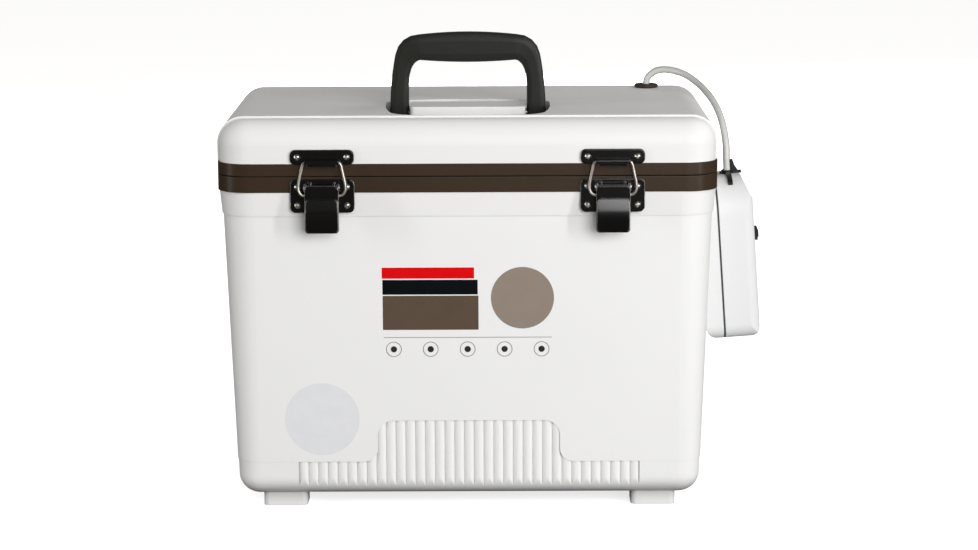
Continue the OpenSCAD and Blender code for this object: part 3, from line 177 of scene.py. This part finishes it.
world = bpy.data.worlds.new("soft_sky")
bpy.context.scene.world = world
world.use_nodes = True
tree = world.node_tree
tree.nodes.clear()
ray = tree.nodes.new("ShaderNodeLightPath")
seen = calc(tree, "MAXIMUM", ray.outputs["Is Camera Ray"], ray.outputs["Is Transmission Ray"])
lighting = mix_shader(tree, ray.outputs["Is Glossy Ray"],
                      sky_light(tree, WARM, SKY_FILL), sky_light(tree, PLAIN, SKY_MIRRORED))
sky_out = tree.nodes.new("ShaderNodeOutputWorld")
tree.links.new(mix_shader(tree, seen, lighting, sky_light(tree, PLAIN, SKY_SEEN)),
               sky_out.inputs["Surface"])
print("sky:", world.name)

# %% [markdown]
# ## Lamps
# A big soft lamp in front, a little to the right, lights the walls. Two narrow
# upright strips at the sides draw the thin bright lines on the black lacquer,
# as the edges of softboxes do in a studio. A weak lamp above keeps the lid's top
# from going dark. The lamp behind lights the back for other views, and shiny
# surfaces don't see it, so that it puts no glare on the lid.


# %% Lamps
def soft_lamp(name, place, target, width, tall, power):
    """An area lamp that looks at a point."""
    bpy.ops.object.select_all(action="DESELECT")
    aim = Vector(target) - Vector(place)
    turn = aim.to_track_quat("-Z", "Y").to_euler()
    bpy.ops.object.light_add(type="AREA", location=place, rotation=turn)
    lamp = bpy.context.object
    lamp.name = name
    lamp.data.shape = "RECTANGLE"
    lamp.data.size = width
    lamp.data.size_y = tall
    lamp.data.energy = power
    return lamp


soft_lamp("front_lamp", place=(1.1, -2.9, 1.1), target=(0, 0, 0.17),
          width=2.0, tall=2.0, power=69)
soft_lamp("right_lamp", place=(1.95, -1.5, 0.6), target=(0.1, 0, 0.2),
          width=0.12, tall=1.5, power=19)
soft_lamp("left_lamp", place=(-2.5, -0.8, 0.6), target=(-0.1, 0, 0.2),
          width=0.12, tall=1.5, power=19)
soft_lamp("top_lamp", place=(1.5, 0.7, 1.7), target=(0, 0, 0.3),
          width=1.2, tall=1.2, power=8)
back_lamp = soft_lamp("back_lamp", place=(-0.8, 3.0, 0.5), target=(0, 0, 0.15),
                      width=2.4, tall=0.8, power=42)
back_lamp.visible_glossy = False

# %% [markdown]
# ## Shared effects
# Some effects come back in many finishes, so each is a node group that every
# material can use with its own values. The first is the fine pebble of a
# moulded surface, made with noise on the piece's own coordinates, so that it
# stays on the piece when the piece moves.


# %% Moulded grain
def effect(name, inputs, outputs):
    """A node group with named sockets; inputs holds each one's usual value."""
    group = bpy.data.node_groups.new(name, "ShaderNodeTree")
    for label, value in inputs.items():
        socket = group.interface.new_socket(label, in_out="INPUT", socket_type="NodeSocketFloat")
        socket.default_value = value
    for label in outputs:
        group.interface.new_socket(label, in_out="OUTPUT", socket_type="NodeSocketFloat")
    start = group.nodes.new("NodeGroupInput")
    end = group.nodes.new("NodeGroupOutput")
    return group, start.outputs, end.inputs


def own_place(tree):
    """The piece's own coordinates."""
    return tree.nodes.new("ShaderNodeTexCoord").outputs["Object"]


def split(tree, vector):
    """The X, Y and Z of a vector."""
    node = tree.nodes.new("ShaderNodeSeparateXYZ")
    tree.links.new(vector, node.inputs[0])
    return node.outputs


def noise(tree, scale, detail=2):
    """Noise on the piece; scale is a socket."""
    node = tree.nodes.new("ShaderNodeTexNoise")
    node.inputs["Detail"].default_value = detail
    tree.links.new(own_place(tree), node.inputs["Vector"])
    tree.links.new(scale, node.inputs["Scale"])
    return node.outputs["Fac"]


grain, given, out = effect("moulded_grain", {"Scale": 900.0}, ["Height"])
grain.links.new(noise(grain, given["Scale"]), out["Height"])
print("effect:", grain.name)

# %% [markdown]
# A big plain wall looks flat when its colour and gloss are the same all over. A
# soft cloud shifts both a little, up and down around nothing.

# %% Soft cloud
cloud, given, out = effect("soft_cloud", {"Scale": 12.0, "Amount": 0.1}, ["Shift"])
centred = calc(cloud, "SUBTRACT", noise(cloud, given["Scale"], detail=4), 0.5)
cloud.links.new(calc(cloud, "MULTIPLY", centred, given["Amount"]), out["Shift"])
print("effect:", cloud.name)

# %% [markdown]
# Paint rubs off on edges. A Bevel node gives the normal of a rounded edge, and
# where that differs from the true normal there is an edge. Noise breaks it up.
# The second output keeps only the edges that face left or right, where the
# strip lamps are, so a bright colour laid on it is partly wear and partly a
# painted highlight.

# %% Edge mask
EDGE_REACH = 0.0009
EDGE_GAIN = 7.0
CHIP_GAIN = 2.0
SIDE_GAIN = 1.7
SIDE_POWER = 3.0


def rounded_normal(tree, reach, samples):
    """The normal that the surface would have with rounded edges."""
    node = tree.nodes.new("ShaderNodeBevel")
    node.samples = samples
    node.inputs["Radius"].default_value = reach
    return node.outputs["Normal"]


edge, given, out = effect("edge_mask", {"Power": 2.0, "Scale": 300.0}, ["Mask", "Side"])
round_one = rounded_normal(edge, EDGE_REACH, samples=4)
true_one = edge.nodes.new("ShaderNodeNewGeometry").outputs["Normal"]
alike = edge.nodes.new("ShaderNodeVectorMath")
alike.operation = "DOT_PRODUCT"
edge.links.new(round_one, alike.inputs[0])
edge.links.new(true_one, alike.inputs[1])
turned = calc(edge, "MULTIPLY", calc(edge, "SUBTRACT", 1.0, alike.outputs["Value"]), EDGE_GAIN)
chips = calc(edge, "MULTIPLY", noise(edge, given["Scale"]), CHIP_GAIN)
rubbed = calc(edge, "MINIMUM", calc(edge, "MULTIPLY", turned, chips), 1.0)
rubbed = calc(edge, "POWER", rubbed, given["Power"])
edge.links.new(rubbed, out["Mask"])
lamp_facing = calc(edge, "ABSOLUTE", split(edge, round_one)["X"])
lamp_facing = calc(edge, "MINIMUM", calc(edge, "MULTIPLY", lamp_facing, SIDE_GAIN), 1.0)
lamp_facing = calc(edge, "POWER", lamp_facing, SIDE_POWER)
edge.links.new(calc(edge, "MULTIPLY", rubbed, lamp_facing), out["Side"])
print("effect:", edge.name)

# %% [markdown]
# Grooves and seams collect shade. Ambient Occlusion tells how closed a spot is
# within a distance, and its opposite is the mask.


# %% Crevice mask
def closed_in(tree, samples):
    """How closed a spot is, from 0 to 1, and the node that measures it."""
    node = tree.nodes.new("ShaderNodeAmbientOcclusion")
    node.samples = samples
    return calc(tree, "SUBTRACT", 1.0, node.outputs["AO"]), node


crevice_mask, given, out = effect("crevice_mask", {"Power": 1.6, "Distance": 0.0016}, ["Mask"])
closed, open_air = closed_in(crevice_mask, samples=8)
crevice_mask.links.new(given["Distance"], open_air.inputs["Distance"])
crevice_mask.links.new(calc(crevice_mask, "POWER", closed, given["Power"]), out["Mask"])
print("effect:", crevice_mask.name)

# %% [markdown]
# The lid's recess is deepest in the two pockets beside the handle's legs. They
# get their own painted shade, nearly black, kept inside a small box on each side
# of the handle, since the same shade elsewhere would darken the bright line along
# the lid.

# %% Recess shade
POCKET_INNER = 0.0485
POCKET_OUTER = 0.0705
POCKET_MIDDLE = -0.049
POCKET_HALF = 0.049
POCKET_REACH = 0.02

recess, given, out = effect("recess_shade", {"Top": 0.3298, "Power": 1.0}, ["Mask"])
closed, open_air = closed_in(recess, samples=16)
open_air.inputs["Distance"].default_value = POCKET_REACH
hidden = calc(recess, "POWER", closed, given["Power"])
spot = split(recess, own_place(recess))
below = calc(recess, "LESS_THAN", spot["Z"], given["Top"])
across = calc(recess, "ABSOLUTE", spot["X"])
beside = calc(recess, "MULTIPLY", calc(recess, "GREATER_THAN", across, POCKET_INNER),
              calc(recess, "LESS_THAN", across, POCKET_OUTER))
along = calc(recess, "ABSOLUTE", calc(recess, "ADD", spot["Y"], -POCKET_MIDDLE))
pocket = calc(recess, "MULTIPLY", calc(recess, "MULTIPLY", beside, below),
              calc(recess, "LESS_THAN", along, POCKET_HALF))
recess.links.new(calc(recess, "MULTIPLY", hidden, pocket), out["Mask"])
print("effects:", [g.name for g in bpy.data.node_groups])

# %% [markdown]
# ## One way to make a finish
# Every finish starts from one colour and one roughness, and takes the effects
# that it needs. With all of it in one function, a new finish is a single call
# that says only what is special about it.

# %% A finish from the shared effects
COAT_ROUGHNESS = 0.12
GLOSS_SHIFT = 0.15
CREVICE_SHADE = 0.42
GRAIN_STRENGTH = 0.6


def use(tree, group, **values):
    """Places an effect in a material, with its own values."""
    node = tree.nodes.new("ShaderNodeGroup")
    node.node_tree = group
    for label, value in values.items():
        node.inputs[label].default_value = value
    return node.outputs


def mix_colour(tree, factor, a, b):
    """Colour a where the factor is 0, b where it is 1; each a socket or a colour."""
    node = tree.nodes.new("ShaderNodeMix")
    node.data_type = "RGBA"
    tree.links.new(factor, node.inputs["Factor"])
    for label, value in (("A", a), ("B", b)):
        if isinstance(value, tuple):
            node.inputs[label].default_value = (*value, 1)
        else:
            tree.links.new(value, node.inputs[label])
    return node.outputs["Result"]


def scaled(colour, by):
    """A colour made lighter or darker."""
    return tuple(min(1, c * by) for c in colour)


def finish(name, colour, rough, metallic=0.0, shine=0.5, coat=0.0,
           grain_scale=900.0, grain_height=0.00002, cloud_scale=12.0, cloud_amount=0.06,
           edge_wear_and_highlight=None, edge_metal=0.0, edge_rough=0.35, edge_on="Mask",
           soft_edge=0.0, crevice=0.0):
    """A Principled material with grain, cloud and, if asked for, edge wear with a painted
    highlight on side edges, and painted shade in crevices.
    """
    material, tree = new_material(name)
    shader = tree.nodes.new("ShaderNodeBsdfPrincipled")
    shader.inputs["Specular IOR Level"].default_value = shine
    shader.inputs["Metallic"].default_value = metallic
    shader.inputs["Coat Weight"].default_value = coat
    shader.inputs["Coat Roughness"].default_value = COAT_ROUGHNESS
    shift = use(tree, cloud, Scale=cloud_scale, Amount=1.0)["Shift"]
    colour_now = mix_colour(tree, calc(tree, "ADD", shift, 0.5),
                            scaled(colour, 1 - cloud_amount), scaled(colour, 1 + cloud_amount))
    rough_now = calc(tree, "ADD", calc(tree, "MULTIPLY", shift, GLOSS_SHIFT), rough)
    if edge_wear_and_highlight:
        # edge colour: wear, and with the side output also a painted highlight
        wear_and_highlight = use(tree, edge)[edge_on]
        colour_now = mix_colour(tree, wear_and_highlight, colour_now, edge_wear_and_highlight)
        rough_now = calc(tree, "ADD", rough_now,
                         calc(tree, "MULTIPLY", wear_and_highlight, edge_rough - rough))
        if edge_metal:
            more_metal = calc(tree, "MULTIPLY", wear_and_highlight, edge_metal - metallic)
            tree.links.new(calc(tree, "ADD", more_metal, metallic), shader.inputs["Metallic"])
    if crevice:
        # painted shade: crevices get a darker copy of the colour
        crevice_shade = calc(tree, "MULTIPLY", use(tree, crevice_mask)["Mask"], crevice)
        colour_now = mix_colour(tree, crevice_shade, colour_now, scaled(colour, CREVICE_SHADE))
    bump = tree.nodes.new("ShaderNodeBump")
    bump.inputs["Strength"].default_value = GRAIN_STRENGTH
    bump.inputs["Distance"].default_value = grain_height
    tree.links.new(use(tree, grain, Scale=grain_scale)["Height"], bump.inputs["Height"])
    if soft_edge:
        tree.links.new(rounded_normal(tree, soft_edge, samples=6), bump.inputs["Normal"])
    tree.links.new(colour_now, shader.inputs["Base Color"])
    tree.links.new(rough_now, shader.inputs["Roughness"])
    tree.links.new(bump.outputs["Normal"], shader.inputs["Normal"])
    material_out = tree.nodes.new("ShaderNodeOutputMaterial")
    tree.links.new(shader.outputs[0], material_out.inputs["Surface"])
    return material


def wear(material, *names):
    """Puts a material in every slot of these CAD nodes."""
    for name in names:
        piece = nodes[name]
        if not piece.material_slots:
            piece.data.materials.append(material)
        for spot in piece.material_slots:
            spot.material = material


print("ready to make finishes for", len(nodes), "nodes")

# %% [markdown]
# ## White walls and feet
# The walls are polyethylene: a satin white with a very fine pebble, never a pure
# white. The bottom edge turns under, where little light reaches, so a wide crevice
# mask paints shade on it below a height, as a darker grey. On the feet the painted
# shade fades out again towards the floor, which sends light back up.

# %% Body white
UNDER_TOP = 0.026
UNDER_FADE = 70
FOOT_FADE_FROM = 0.001
FOOT_FADE = 110
FOOT_LEAST = 0.2


def darken(material, mask, colour):
    """Mixes a darker colour over a finish wherever a mask says so."""
    tree = material.node_tree
    shader = [n for n in tree.nodes if n.type == "BSDF_PRINCIPLED"][0]
    before = shader.inputs["Base Color"].links[0].from_socket
    tree.links.new(mix_colour(tree, mask, before, colour), shader.inputs["Base Color"])


def fade(tree, distance, steepness, least):
    """Grows with a distance, from a least value up to 1."""
    grown = calc(tree, "MULTIPLY", distance, steepness)
    return calc(tree, "MINIMUM", calc(tree, "MAXIMUM", grown, least), 1.0)


body_white = finish("body_white", (0.87, 0.869, 0.862), 0.40, grain_scale=700,
                    grain_height=0.00003, cloud_amount=0.012, crevice=0.9)
tree = body_white.node_tree
# painted shade: a darker grey under the box, where the floor hides the light
under_shade = use(tree, crevice_mask, Power=0.8, Distance=0.045)["Mask"]
height = split(tree, own_place(tree))["Z"]
low = fade(tree, calc(tree, "SUBTRACT", UNDER_TOP, height), UNDER_FADE, 0.0)
lifted = fade(tree, calc(tree, "SUBTRACT", height, FOOT_FADE_FROM), FOOT_FADE, FOOT_LEAST)
shaded = calc(tree, "MULTIPLY", under_shade, calc(tree, "MULTIPLY", low, lifted))
darken(body_white, shaded, (0.42, 0.41, 0.40))
wear(body_white, "body_shell", "foot_pads")
print("finish:", body_white.name)

# %% [markdown]
# ## Other white and pale pieces
# The lid is the same plastic as the walls but a little rougher, as its top takes
# the light at a flat angle. The tank liner is smooth so it can be wiped out. The
# pump's case is a harder plastic, and its edges are rounded in the finish.

# %% White and pale finishes
lid_white = finish("lid_white", (0.835, 0.833, 0.825), 0.48, shine=0.35, grain_scale=700,
                   cloud_amount=0.012, crevice=0.6)
# painted shade: the pockets beside the handle's legs turn nearly black
darken(lid_white, use(lid_white.node_tree, recess, Power=0.3)["Mask"], (0.02, 0.017, 0.015))
wear(lid_white, "lid_shell")
wear(finish("liner_white", (0.82, 0.82, 0.82), 0.30, grain_scale=1200, grain_height=0.00001,
            cloud_amount=0.02),
     "body_liner", "lid_liner")
wear(finish("pump_white", (0.765, 0.767, 0.77), 0.45, shine=0.3, grain_scale=1400,
            grain_height=0.00001, cloud_amount=0.012, soft_edge=0.0012, crevice=0.6),
     "pump_back_case", "pump_front_case")
wear(finish("insulating_foam", (0.78, 0.70, 0.48), 0.85, grain_scale=500,
            grain_height=0.0002, cloud_amount=0.1),
     "body_foam", "lid_foam")
print("materials:", len(bpy.data.materials))

# %% [markdown]
# ## Brown rims, fittings and rubber
# The two rims are a second, tougher moulding in dark brown. The photo shows
# them as a satin grey brown with a soft shine along the top edge. The seals and
# tubes are dull black rubber.

# %% Brown and rubber finishes
wear(finish("rim_brown", (0.042, 0.0255, 0.0145), 0.32, shine=0.2, grain_scale=800,
            grain_height=0.00003, cloud_amount=0.08, edge_wear_and_highlight=(0.070, 0.050, 0.036),
            soft_edge=0.001),
     "body_rim", "lid_rim")
wear(finish("fitting_brown", (0.040, 0.028, 0.022), 0.46, shine=0.2, grain_scale=1200,
            cloud_amount=0.1),
     "hose_grommet", "grommet_nut")
wear(finish("seal_rubber", (0.035, 0.038, 0.035), 0.6, grain_scale=1500,
            grain_height=0.00003, cloud_amount=0.15),
     "lid_seal", "pump_seal")
wear(finish("tube_rubber", (0.03, 0.03, 0.03), 0.55, grain_scale=1500, cloud_amount=0.15),
     "outlet_tube", "diaphragm")
print("materials:", len(bpy.data.materials))

# %% [markdown]
# ## Black handle, bracket and switch
# The handle is thick black plastic with a low shine that shows along its
# rounded edges. The small parts on the pump are a deeper black and duller.

# %% Black plastic
wear(finish("handle_black", (0.020, 0.021, 0.0175), 0.34, shine=0.16,
            grain_height=0.00004, cloud_amount=0.15),
     "handle")
wear(finish("small_black", (0.008, 0.008, 0.008), 0.42, shine=0.25, grain_scale=1200,
            cloud_amount=0.2),
     "pump_bracket", "outlet_boot", "switch_knob")
print("materials:", len(bpy.data.materials))

# %% [markdown]
# ## Latches, screws and wire
# The latches are pressed steel under glossy black lacquer. Their left and right
# edges get a bright colour: partly lacquer worn through to the steel, partly a
# painted highlight where the side strip lamps would glint. That is what makes
# them read as metal. Wire, pins, screws and hinges are plain steel.

# %% Metal finishes
# painted highlight mixed with wear: a bright colour on the edges that face the side lamps
wear(finish("latch_lacquer", (0.0035, 0.003, 0.0028), 0.15, coat=0.25, grain_scale=500,
            grain_height=0.00001, cloud_amount=0.2, edge_wear_and_highlight=(0.55, 0.53, 0.50),
            edge_metal=0.3, edge_rough=0.3, edge_on="Side", soft_edge=0.0016),
     "latch_base_left", "latch_base_right", "lever_left", "lever_right",
     "strike_left", "strike_right")
wear(finish("spring_wire", (0.46, 0.42, 0.37), 0.30, metallic=0.75,
            grain_height=0.00001, cloud_scale=60, cloud_amount=0.1),
     "bail_left", "bail_right")
wear(finish("screw_steel", (0.58, 0.56, 0.52), 0.30, metallic=1.0,
            grain_height=0.00001, cloud_scale=120, cloud_amount=0.12),
     "strike_screws", "latch_base_screws", "hinge_body_screws", "hinge_lid_screws",
     "bracket_screws", "pump_case_screws")
wear(finish("plain_pin", (0.50, 0.49, 0.47), 0.30, metallic=1.0,
            grain_height=0.00001, cloud_scale=80, cloud_amount=0.12),
     "latch_pins", "hinge_pins", "handle_rod")
wear(finish("hinge_steel", (0.56, 0.55, 0.53), 0.33, metallic=1.0, grain_scale=1500,
            cloud_scale=40, cloud_amount=0.08),
     "hinge_body_leaves", "hinge_lid_leaves")
print("materials:", len(bpy.data.materials))

# %% [markdown]
# ## Inside the pump case and the tank
# Cells, contacts, motor, crank, chamber and board are hidden until the case is
# opened, and the air stone until the lid is, but each still gets its own finish.

# %% Inner finishes
wear(finish("cell_wrap", (0.10, 0.085, 0.07), 0.35, cloud_scale=40, cloud_amount=0.15),
     "battery_cells")
wear(finish("contact_plate", (0.66, 0.63, 0.55), 0.28, metallic=1.0, cloud_scale=60),
     "battery_contacts")
wear(finish("motor_can", (0.50, 0.50, 0.50), 0.32, metallic=1.0, cloud_scale=60), "motor")
wear(finish("crank_brown", (0.20, 0.11, 0.06), 0.5, cloud_amount=0.12), "motor_crank")
wear(finish("chamber_grey", (0.06, 0.06, 0.065), 0.5, cloud_amount=0.12), "air_chamber")
wear(finish("board_green", (0.02, 0.11, 0.04), 0.4, cloud_scale=80, cloud_amount=0.2),
     "switch_board")
wear(finish("stone_blue", (0.14, 0.20, 0.28), 0.9, grain_scale=350, grain_height=0.0006,
            cloud_scale=200, cloud_amount=0.3),
     "air_stone")
print("materials:", len(bpy.data.materials))

# %% [markdown]
# ## The air hoses
# The outer hose leaves the boot on the pump, arches over the lid's corner and
# ends in the brown grommet. The inner one hangs from the grommet to the stone on
# the tank's floor. A route is a row of points in millimetres, and the last point
# of the outer one is worked out in the pump's own frame, which leans.

# %% Hose routes
PUMP_X = 220.276
PUMP_Z = 127.5
PUMP_LEAN = radians(4)
HOSE_OUT = 13
HOSE_UP = 135


def millimetres(points):
    """Points in millimetres, as vectors in metres."""
    return [Vector(p) / 1000 for p in points]


def on_pump(u, y, w):
    """A point of the pump's own leaning frame, in millimetres."""
    return (PUMP_X + u * cos(PUMP_LEAN) - w * sin(PUMP_LEAN), y,
            PUMP_Z + u * sin(PUMP_LEAN) + w * cos(PUMP_LEAN))


hose_end = on_pump(HOSE_OUT, 0, HOSE_UP)
outer_route = millimetres([
    (158.5, 92, 325.9), (158.5, 92, 333.5), (159.5, 91.8, 338.5), (162.5, 90.8, 342.3),
    (167, 88.8, 345.4), (172, 86.3, 346.8), (177, 83.3, 347), (184, 78.4, 346.2),
    (190, 73.2, 344.6), (195, 67.7, 342.3), (199.5, 61.6, 339.4), (204, 54.2, 336),
    (208, 46.3, 332), (212, 37.6, 327.2), (215.5, 29.3, 321.5), (218, 21.5, 315.5),
    (220, 14, 308.8), (221.3, 8.4, 302), (222.2, 4.2, 295), (222.8, 1.4, 287.5),
    (222.9, 0.2, 280), (hose_end[0] - 0.5, 0, hose_end[2] + 7), hose_end])
inner_route = millimetres([
    (158.5, 92, 275.6), (158.5, 92, 262), (157.6, 91.2, 245), (154.8, 88, 222),
    (151.6, 84, 198), (149.6, 80, 174), (149.5, 76, 150), (150.5, 71.5, 127), (151.5, 66, 106),
    (151.8, 59.5, 88), (150.3, 53, 74), (146.6, 47.2, 63), (141.5, 43.2, 56.6),
    (136, 41, 53.4), (130, 40, 51.8), (123.6, 40, 51.8)])
print("route points:", len(outer_route), len(inner_route))

# %% [markdown]
# A hose bends without corners, so a smooth line goes through the points first.
# Rings of points are then set square to that line and joined, once for the
# outer wall and once for the bore, and the two ends are closed between them.

# %% Sweep a hose
LINE_STEPS = 5
HOSE_SIDES = 24
FIRST_SIDE = Vector((0.816, 0.577, 0))
SMOOTH_UP_TO = radians(40)


def smooth_route(points, steps):
    """A Catmull-Rom line through the points."""
    line = []
    ends = [points[0] * 2 - points[1]] + points + [points[-1] * 2 - points[-2]]
    for i in range(1, len(ends) - 2):
        a, b, c, d = ends[i - 1:i + 3]
        for k in range(steps):
            t = k / steps
            line.append(0.5 * ((2 * b) + (c - a) * t + (2 * a - 5 * b + 4 * c - d) * t * t
                               + (3 * b - a - 3 * c + d) * t ** 3))
    line.append(points[-1])
    return line


def ring_of(tube, middle, radius, a, b):
    """A ring of points round the middle, in the plane of a and b."""
    turns = [2 * pi * k / HOSE_SIDES for k in range(HOSE_SIDES)]
    return [tube.verts.new(middle + radius * (cos(t) * a + sin(t) * b)) for t in turns]


def sweep_hose(name, points, outer, inner):
    """A hollow tube: outer wall, inner wall and the two end rings."""
    line = smooth_route(points, LINE_STEPS)
    bpy.ops.object.select_all(action="DESELECT")
    mesh = bpy.data.meshes.new(name)
    tube = bmesh.new()
    rings = []
    for i, p in enumerate(line):
        ahead = (line[min(i + 1, len(line) - 1)] - line[max(i - 1, 0)]).normalized()
        a = (FIRST_SIDE - FIRST_SIDE.dot(ahead) * ahead).normalized()
        b = ahead.cross(a)
        rings.append([ring_of(tube, p, radius, a, b) for radius in (outer, inner)])
    following = [(k, (k + 1) % HOSE_SIDES) for k in range(HOSE_SIDES)]
    for here, there in zip(rings[:-1], rings[1:]):
        for k, n in following:
            tube.faces.new([here[0][k], here[0][n], there[0][n], there[0][k]])
        for k, n in following:
            tube.faces.new([there[1][k], there[1][n], here[1][n], here[1][k]])
    for wall, bore in (rings[0], rings[-1]):
        for k, n in following:
            tube.faces.new([wall[k], wall[n], bore[n], bore[k]])
    bmesh.ops.recalc_face_normals(tube, faces=tube.faces)
    tube.to_mesh(mesh)
    tube.free()
    piece = bpy.data.objects.new(name, mesh)
    bpy.context.collection.objects.link(piece)
    piece.select_set(True)
    bpy.context.view_layer.objects.active = piece
    bpy.ops.object.shade_smooth_by_angle(angle=SMOOTH_UP_TO)
    length = sum((b - a).length for a, b in zip(line[:-1], line[1:]))
    print(name, "length", round(length, 4), "faces", len(mesh.polygons))
    return piece, line, length


print("points along the outer hose:", len(smooth_route(outer_route, LINE_STEPS)))

# %% [markdown]
# The hose is soft clear vinyl gone slightly grey. Seen from the side, its middle
# is pale and both edges are darker, as there you look through more of the wall.
# A tube that is really see-through needs many light bounces, so the darker edge
# is painted in with Layer Weight instead.

# %% Clear vinyl
VINYL_SHINE = 0.35
VINYL_ROUGH = 0.30
WALL_POWER = 1.4

clear_vinyl, tree = new_material("clear_vinyl")
shader = tree.nodes.new("ShaderNodeBsdfPrincipled")
shader.inputs["Specular IOR Level"].default_value = VINYL_SHINE
shift = use(tree, cloud, Scale=60, Amount=0.10)["Shift"]
side_on = tree.nodes.new("ShaderNodeLayerWeight")
side_on.inputs["Blend"].default_value = 0.5
through_wall = calc(tree, "POWER", side_on.outputs["Facing"], WALL_POWER)
tint = mix_colour(tree, calc(tree, "ADD", through_wall, shift),
                  (0.64, 0.64, 0.62), (0.21, 0.21, 0.20))
tree.links.new(tint, shader.inputs["Base Color"])
tree.links.new(calc(tree, "ADD", shift, VINYL_ROUGH), shader.inputs["Roughness"])
vinyl_out = tree.nodes.new("ShaderNodeOutputMaterial")
tree.links.new(shader.outputs[0], vinyl_out.inputs["Surface"])
print("finish:", clear_vinyl.name)

# %% [markdown]
# Both hoses cross the lid's hinge: the grommet end goes with the lid, and the
# other end stays with the box. Each is swept once here, as it lies with the lid
# shut, and nothing in this script makes it follow the lid. A blend that makes
# each point follow the nearer end stretches both hoses with the lid wide open,
# which real ones can't do.

# %% Make both hoses
outer_hose, outer_line, outer_length = sweep_hose("outer_air_hose", outer_route, 0.003, 0.0018)
outer_hose.data.materials.append(clear_vinyl)
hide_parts("air_hose")
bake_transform(outer_hose)
lower_hose, lower_line, lower_length = sweep_hose("inner_air_hose", inner_route, 0.0025, 0.0016)
lower_hose.data.materials.append(clear_vinyl)
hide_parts("inner_hose")
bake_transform(lower_hose)

# %% [markdown]
# ## Printed shapes on the front
# The front carries a printed panel of plain shapes and a round sticker. Each is
# a thin flat piece that leans with the wall, like a layer of ink or vinyl. It is
# drawn flat about the origin first, where bevel and inset are easy, and then
# turned upright and set on the wall.

# %% Place a flat shape on the front wall
DRAFT = radians(2.1)
RIM_FRONT = 0.131
COLLAR_IN = 0.0026
LEDGE_IN = 0.0009
LEDGE_Z = 0.2503


def wall_y(z):
    """Depth of the front wall at a height, in metres."""
    return -(RIM_FRONT - (COLLAR_IN + LEDGE_IN + (LEDGE_Z - z) * tan(DRAFT)))


def select_only(piece):
    """Makes a piece the selected and active one."""
    bpy.ops.object.select_all(action="DESELECT")
    piece.select_set(True)
    bpy.context.view_layer.objects.active = piece


def lay_on_wall(piece, x, z, proud):
    """Turns a shape drawn on the XY plane upright, leans it and bakes its place."""
    piece.rotation_euler = (pi / 2 + DRAFT, 0, 0)
    piece.location = (x, wall_y(z) - proud, z)
    select_only(piece)
    bpy.ops.object.transform_apply(location=True, rotation=True, scale=True)


print("wall depth at mid height:", round(wall_y(LEDGE_Z / 2), 4))

# %% [markdown]
# A bar is a plane with bevelled corners, and a disc is a filled circle. A ring is
# a disc whose middle is inset and taken away. Solidify then gives each shape the
# thickness of a film, behind its face.

# %% Make a flat shape
INK_PROUD = 0.00012
INK_THICK = 0.0001
LARGEST_CORNER = 0.0004
DISC_SIDES = 72


def outline_shape(name, kind, half_wide, half_tall, band=0):
    """A flat bar or disc drawn about the origin; a band leaves only its outer ring."""
    bpy.ops.object.select_all(action="DESELECT")
    if kind == "bar":
        bpy.ops.mesh.primitive_plane_add(size=2)
    else:
        bpy.ops.mesh.primitive_circle_add(vertices=DISC_SIDES, radius=1, fill_type="NGON")
    piece = bpy.context.object
    piece.name = name
    piece.data.name = name
    piece.scale = (half_wide / 1000, half_tall / 1000 / cos(DRAFT), 1)
    bpy.ops.object.transform_apply(location=False, rotation=False, scale=True)
    bpy.ops.object.mode_set(mode="EDIT")
    bpy.ops.mesh.select_all(action="SELECT")
    if kind == "bar":
        corner = min(LARGEST_CORNER, half_tall / 3000)
        bpy.ops.mesh.bevel(offset=corner, segments=3, affect="VERTICES")
    if band:
        bpy.ops.mesh.inset(thickness=band / 1000)
        bpy.ops.mesh.delete(type="FACE")
    bpy.ops.object.mode_set(mode="OBJECT")
    return piece


def thicken(piece, depth):
    """Gives a flat shape a thickness behind its face."""
    select_only(piece)
    solid = piece.modifiers.new("thickness", "SOLIDIFY")
    solid.thickness = depth
    solid.offset = -1
    bpy.ops.object.modifier_apply(modifier=solid.name)


def ink_shape(name, kind, middle, half, colour, rough=0.4, band=0):
    """A printed shape: its middle and half size in millimetres, across and up."""
    piece = outline_shape(name, kind, *half, band)
    thicken(piece, INK_THICK)
    lay_on_wall(piece, middle[0] / 1000, middle[1] / 1000, INK_PROUD)
    piece.data.materials.append(finish(
        name + "_ink", colour, rough, shine=0.12, grain_scale=1500, grain_height=0.00001,
        cloud_scale=90, cloud_amount=0.05))
    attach(piece, "bucket")
    return piece


print("flat shapes will be", INK_THICK, "m thick")

# %% [markdown]
# The panel has a red bar, a black band and a taupe block on the left, a disc on
# the right, and a thin rule with five ringed dots under them.

# %% Draw the shapes
DOT_ROW = 137.8
DOT_PLACES = (-61.7, -31.2, -0.6, 30.0, 60.6)

ink_shape("red_bar", "bar", (-33, 202.35), (38, 4.65), (0.74, 0.0, 0.002))
ink_shape("black_band", "bar", (-31.35, 190.4), (39.25, 6.2), (0.0015, 0.003, 0.004))
ink_shape("taupe_panel", "bar", (-31, 168.75), (39.5, 14.45), (0.108, 0.074, 0.051))
ink_shape("taupe_disc", "disc", (44.8, 181.2), (26, 26), (0.285, 0.232, 0.188))
ink_shape("thin_rule", "bar", (-0.5, 147.8), (69.5, 0.3), (0.36, 0.33, 0.30))
for i, x in enumerate(DOT_PLACES):
    ink_shape(f"ring_{i}", "disc", (x, DOT_ROW), (6.4, 6.4), (0.20, 0.17, 0.15), band=0.5)
    ink_shape(f"dot_{i}", "disc", (x, DOT_ROW), (2.6, 2.6), (0.03, 0.025, 0.022))
ink_shape("round_sticker", "disc", (-122, 78), (31, 31), (0.775, 0.78, 0.80), rough=0.32)
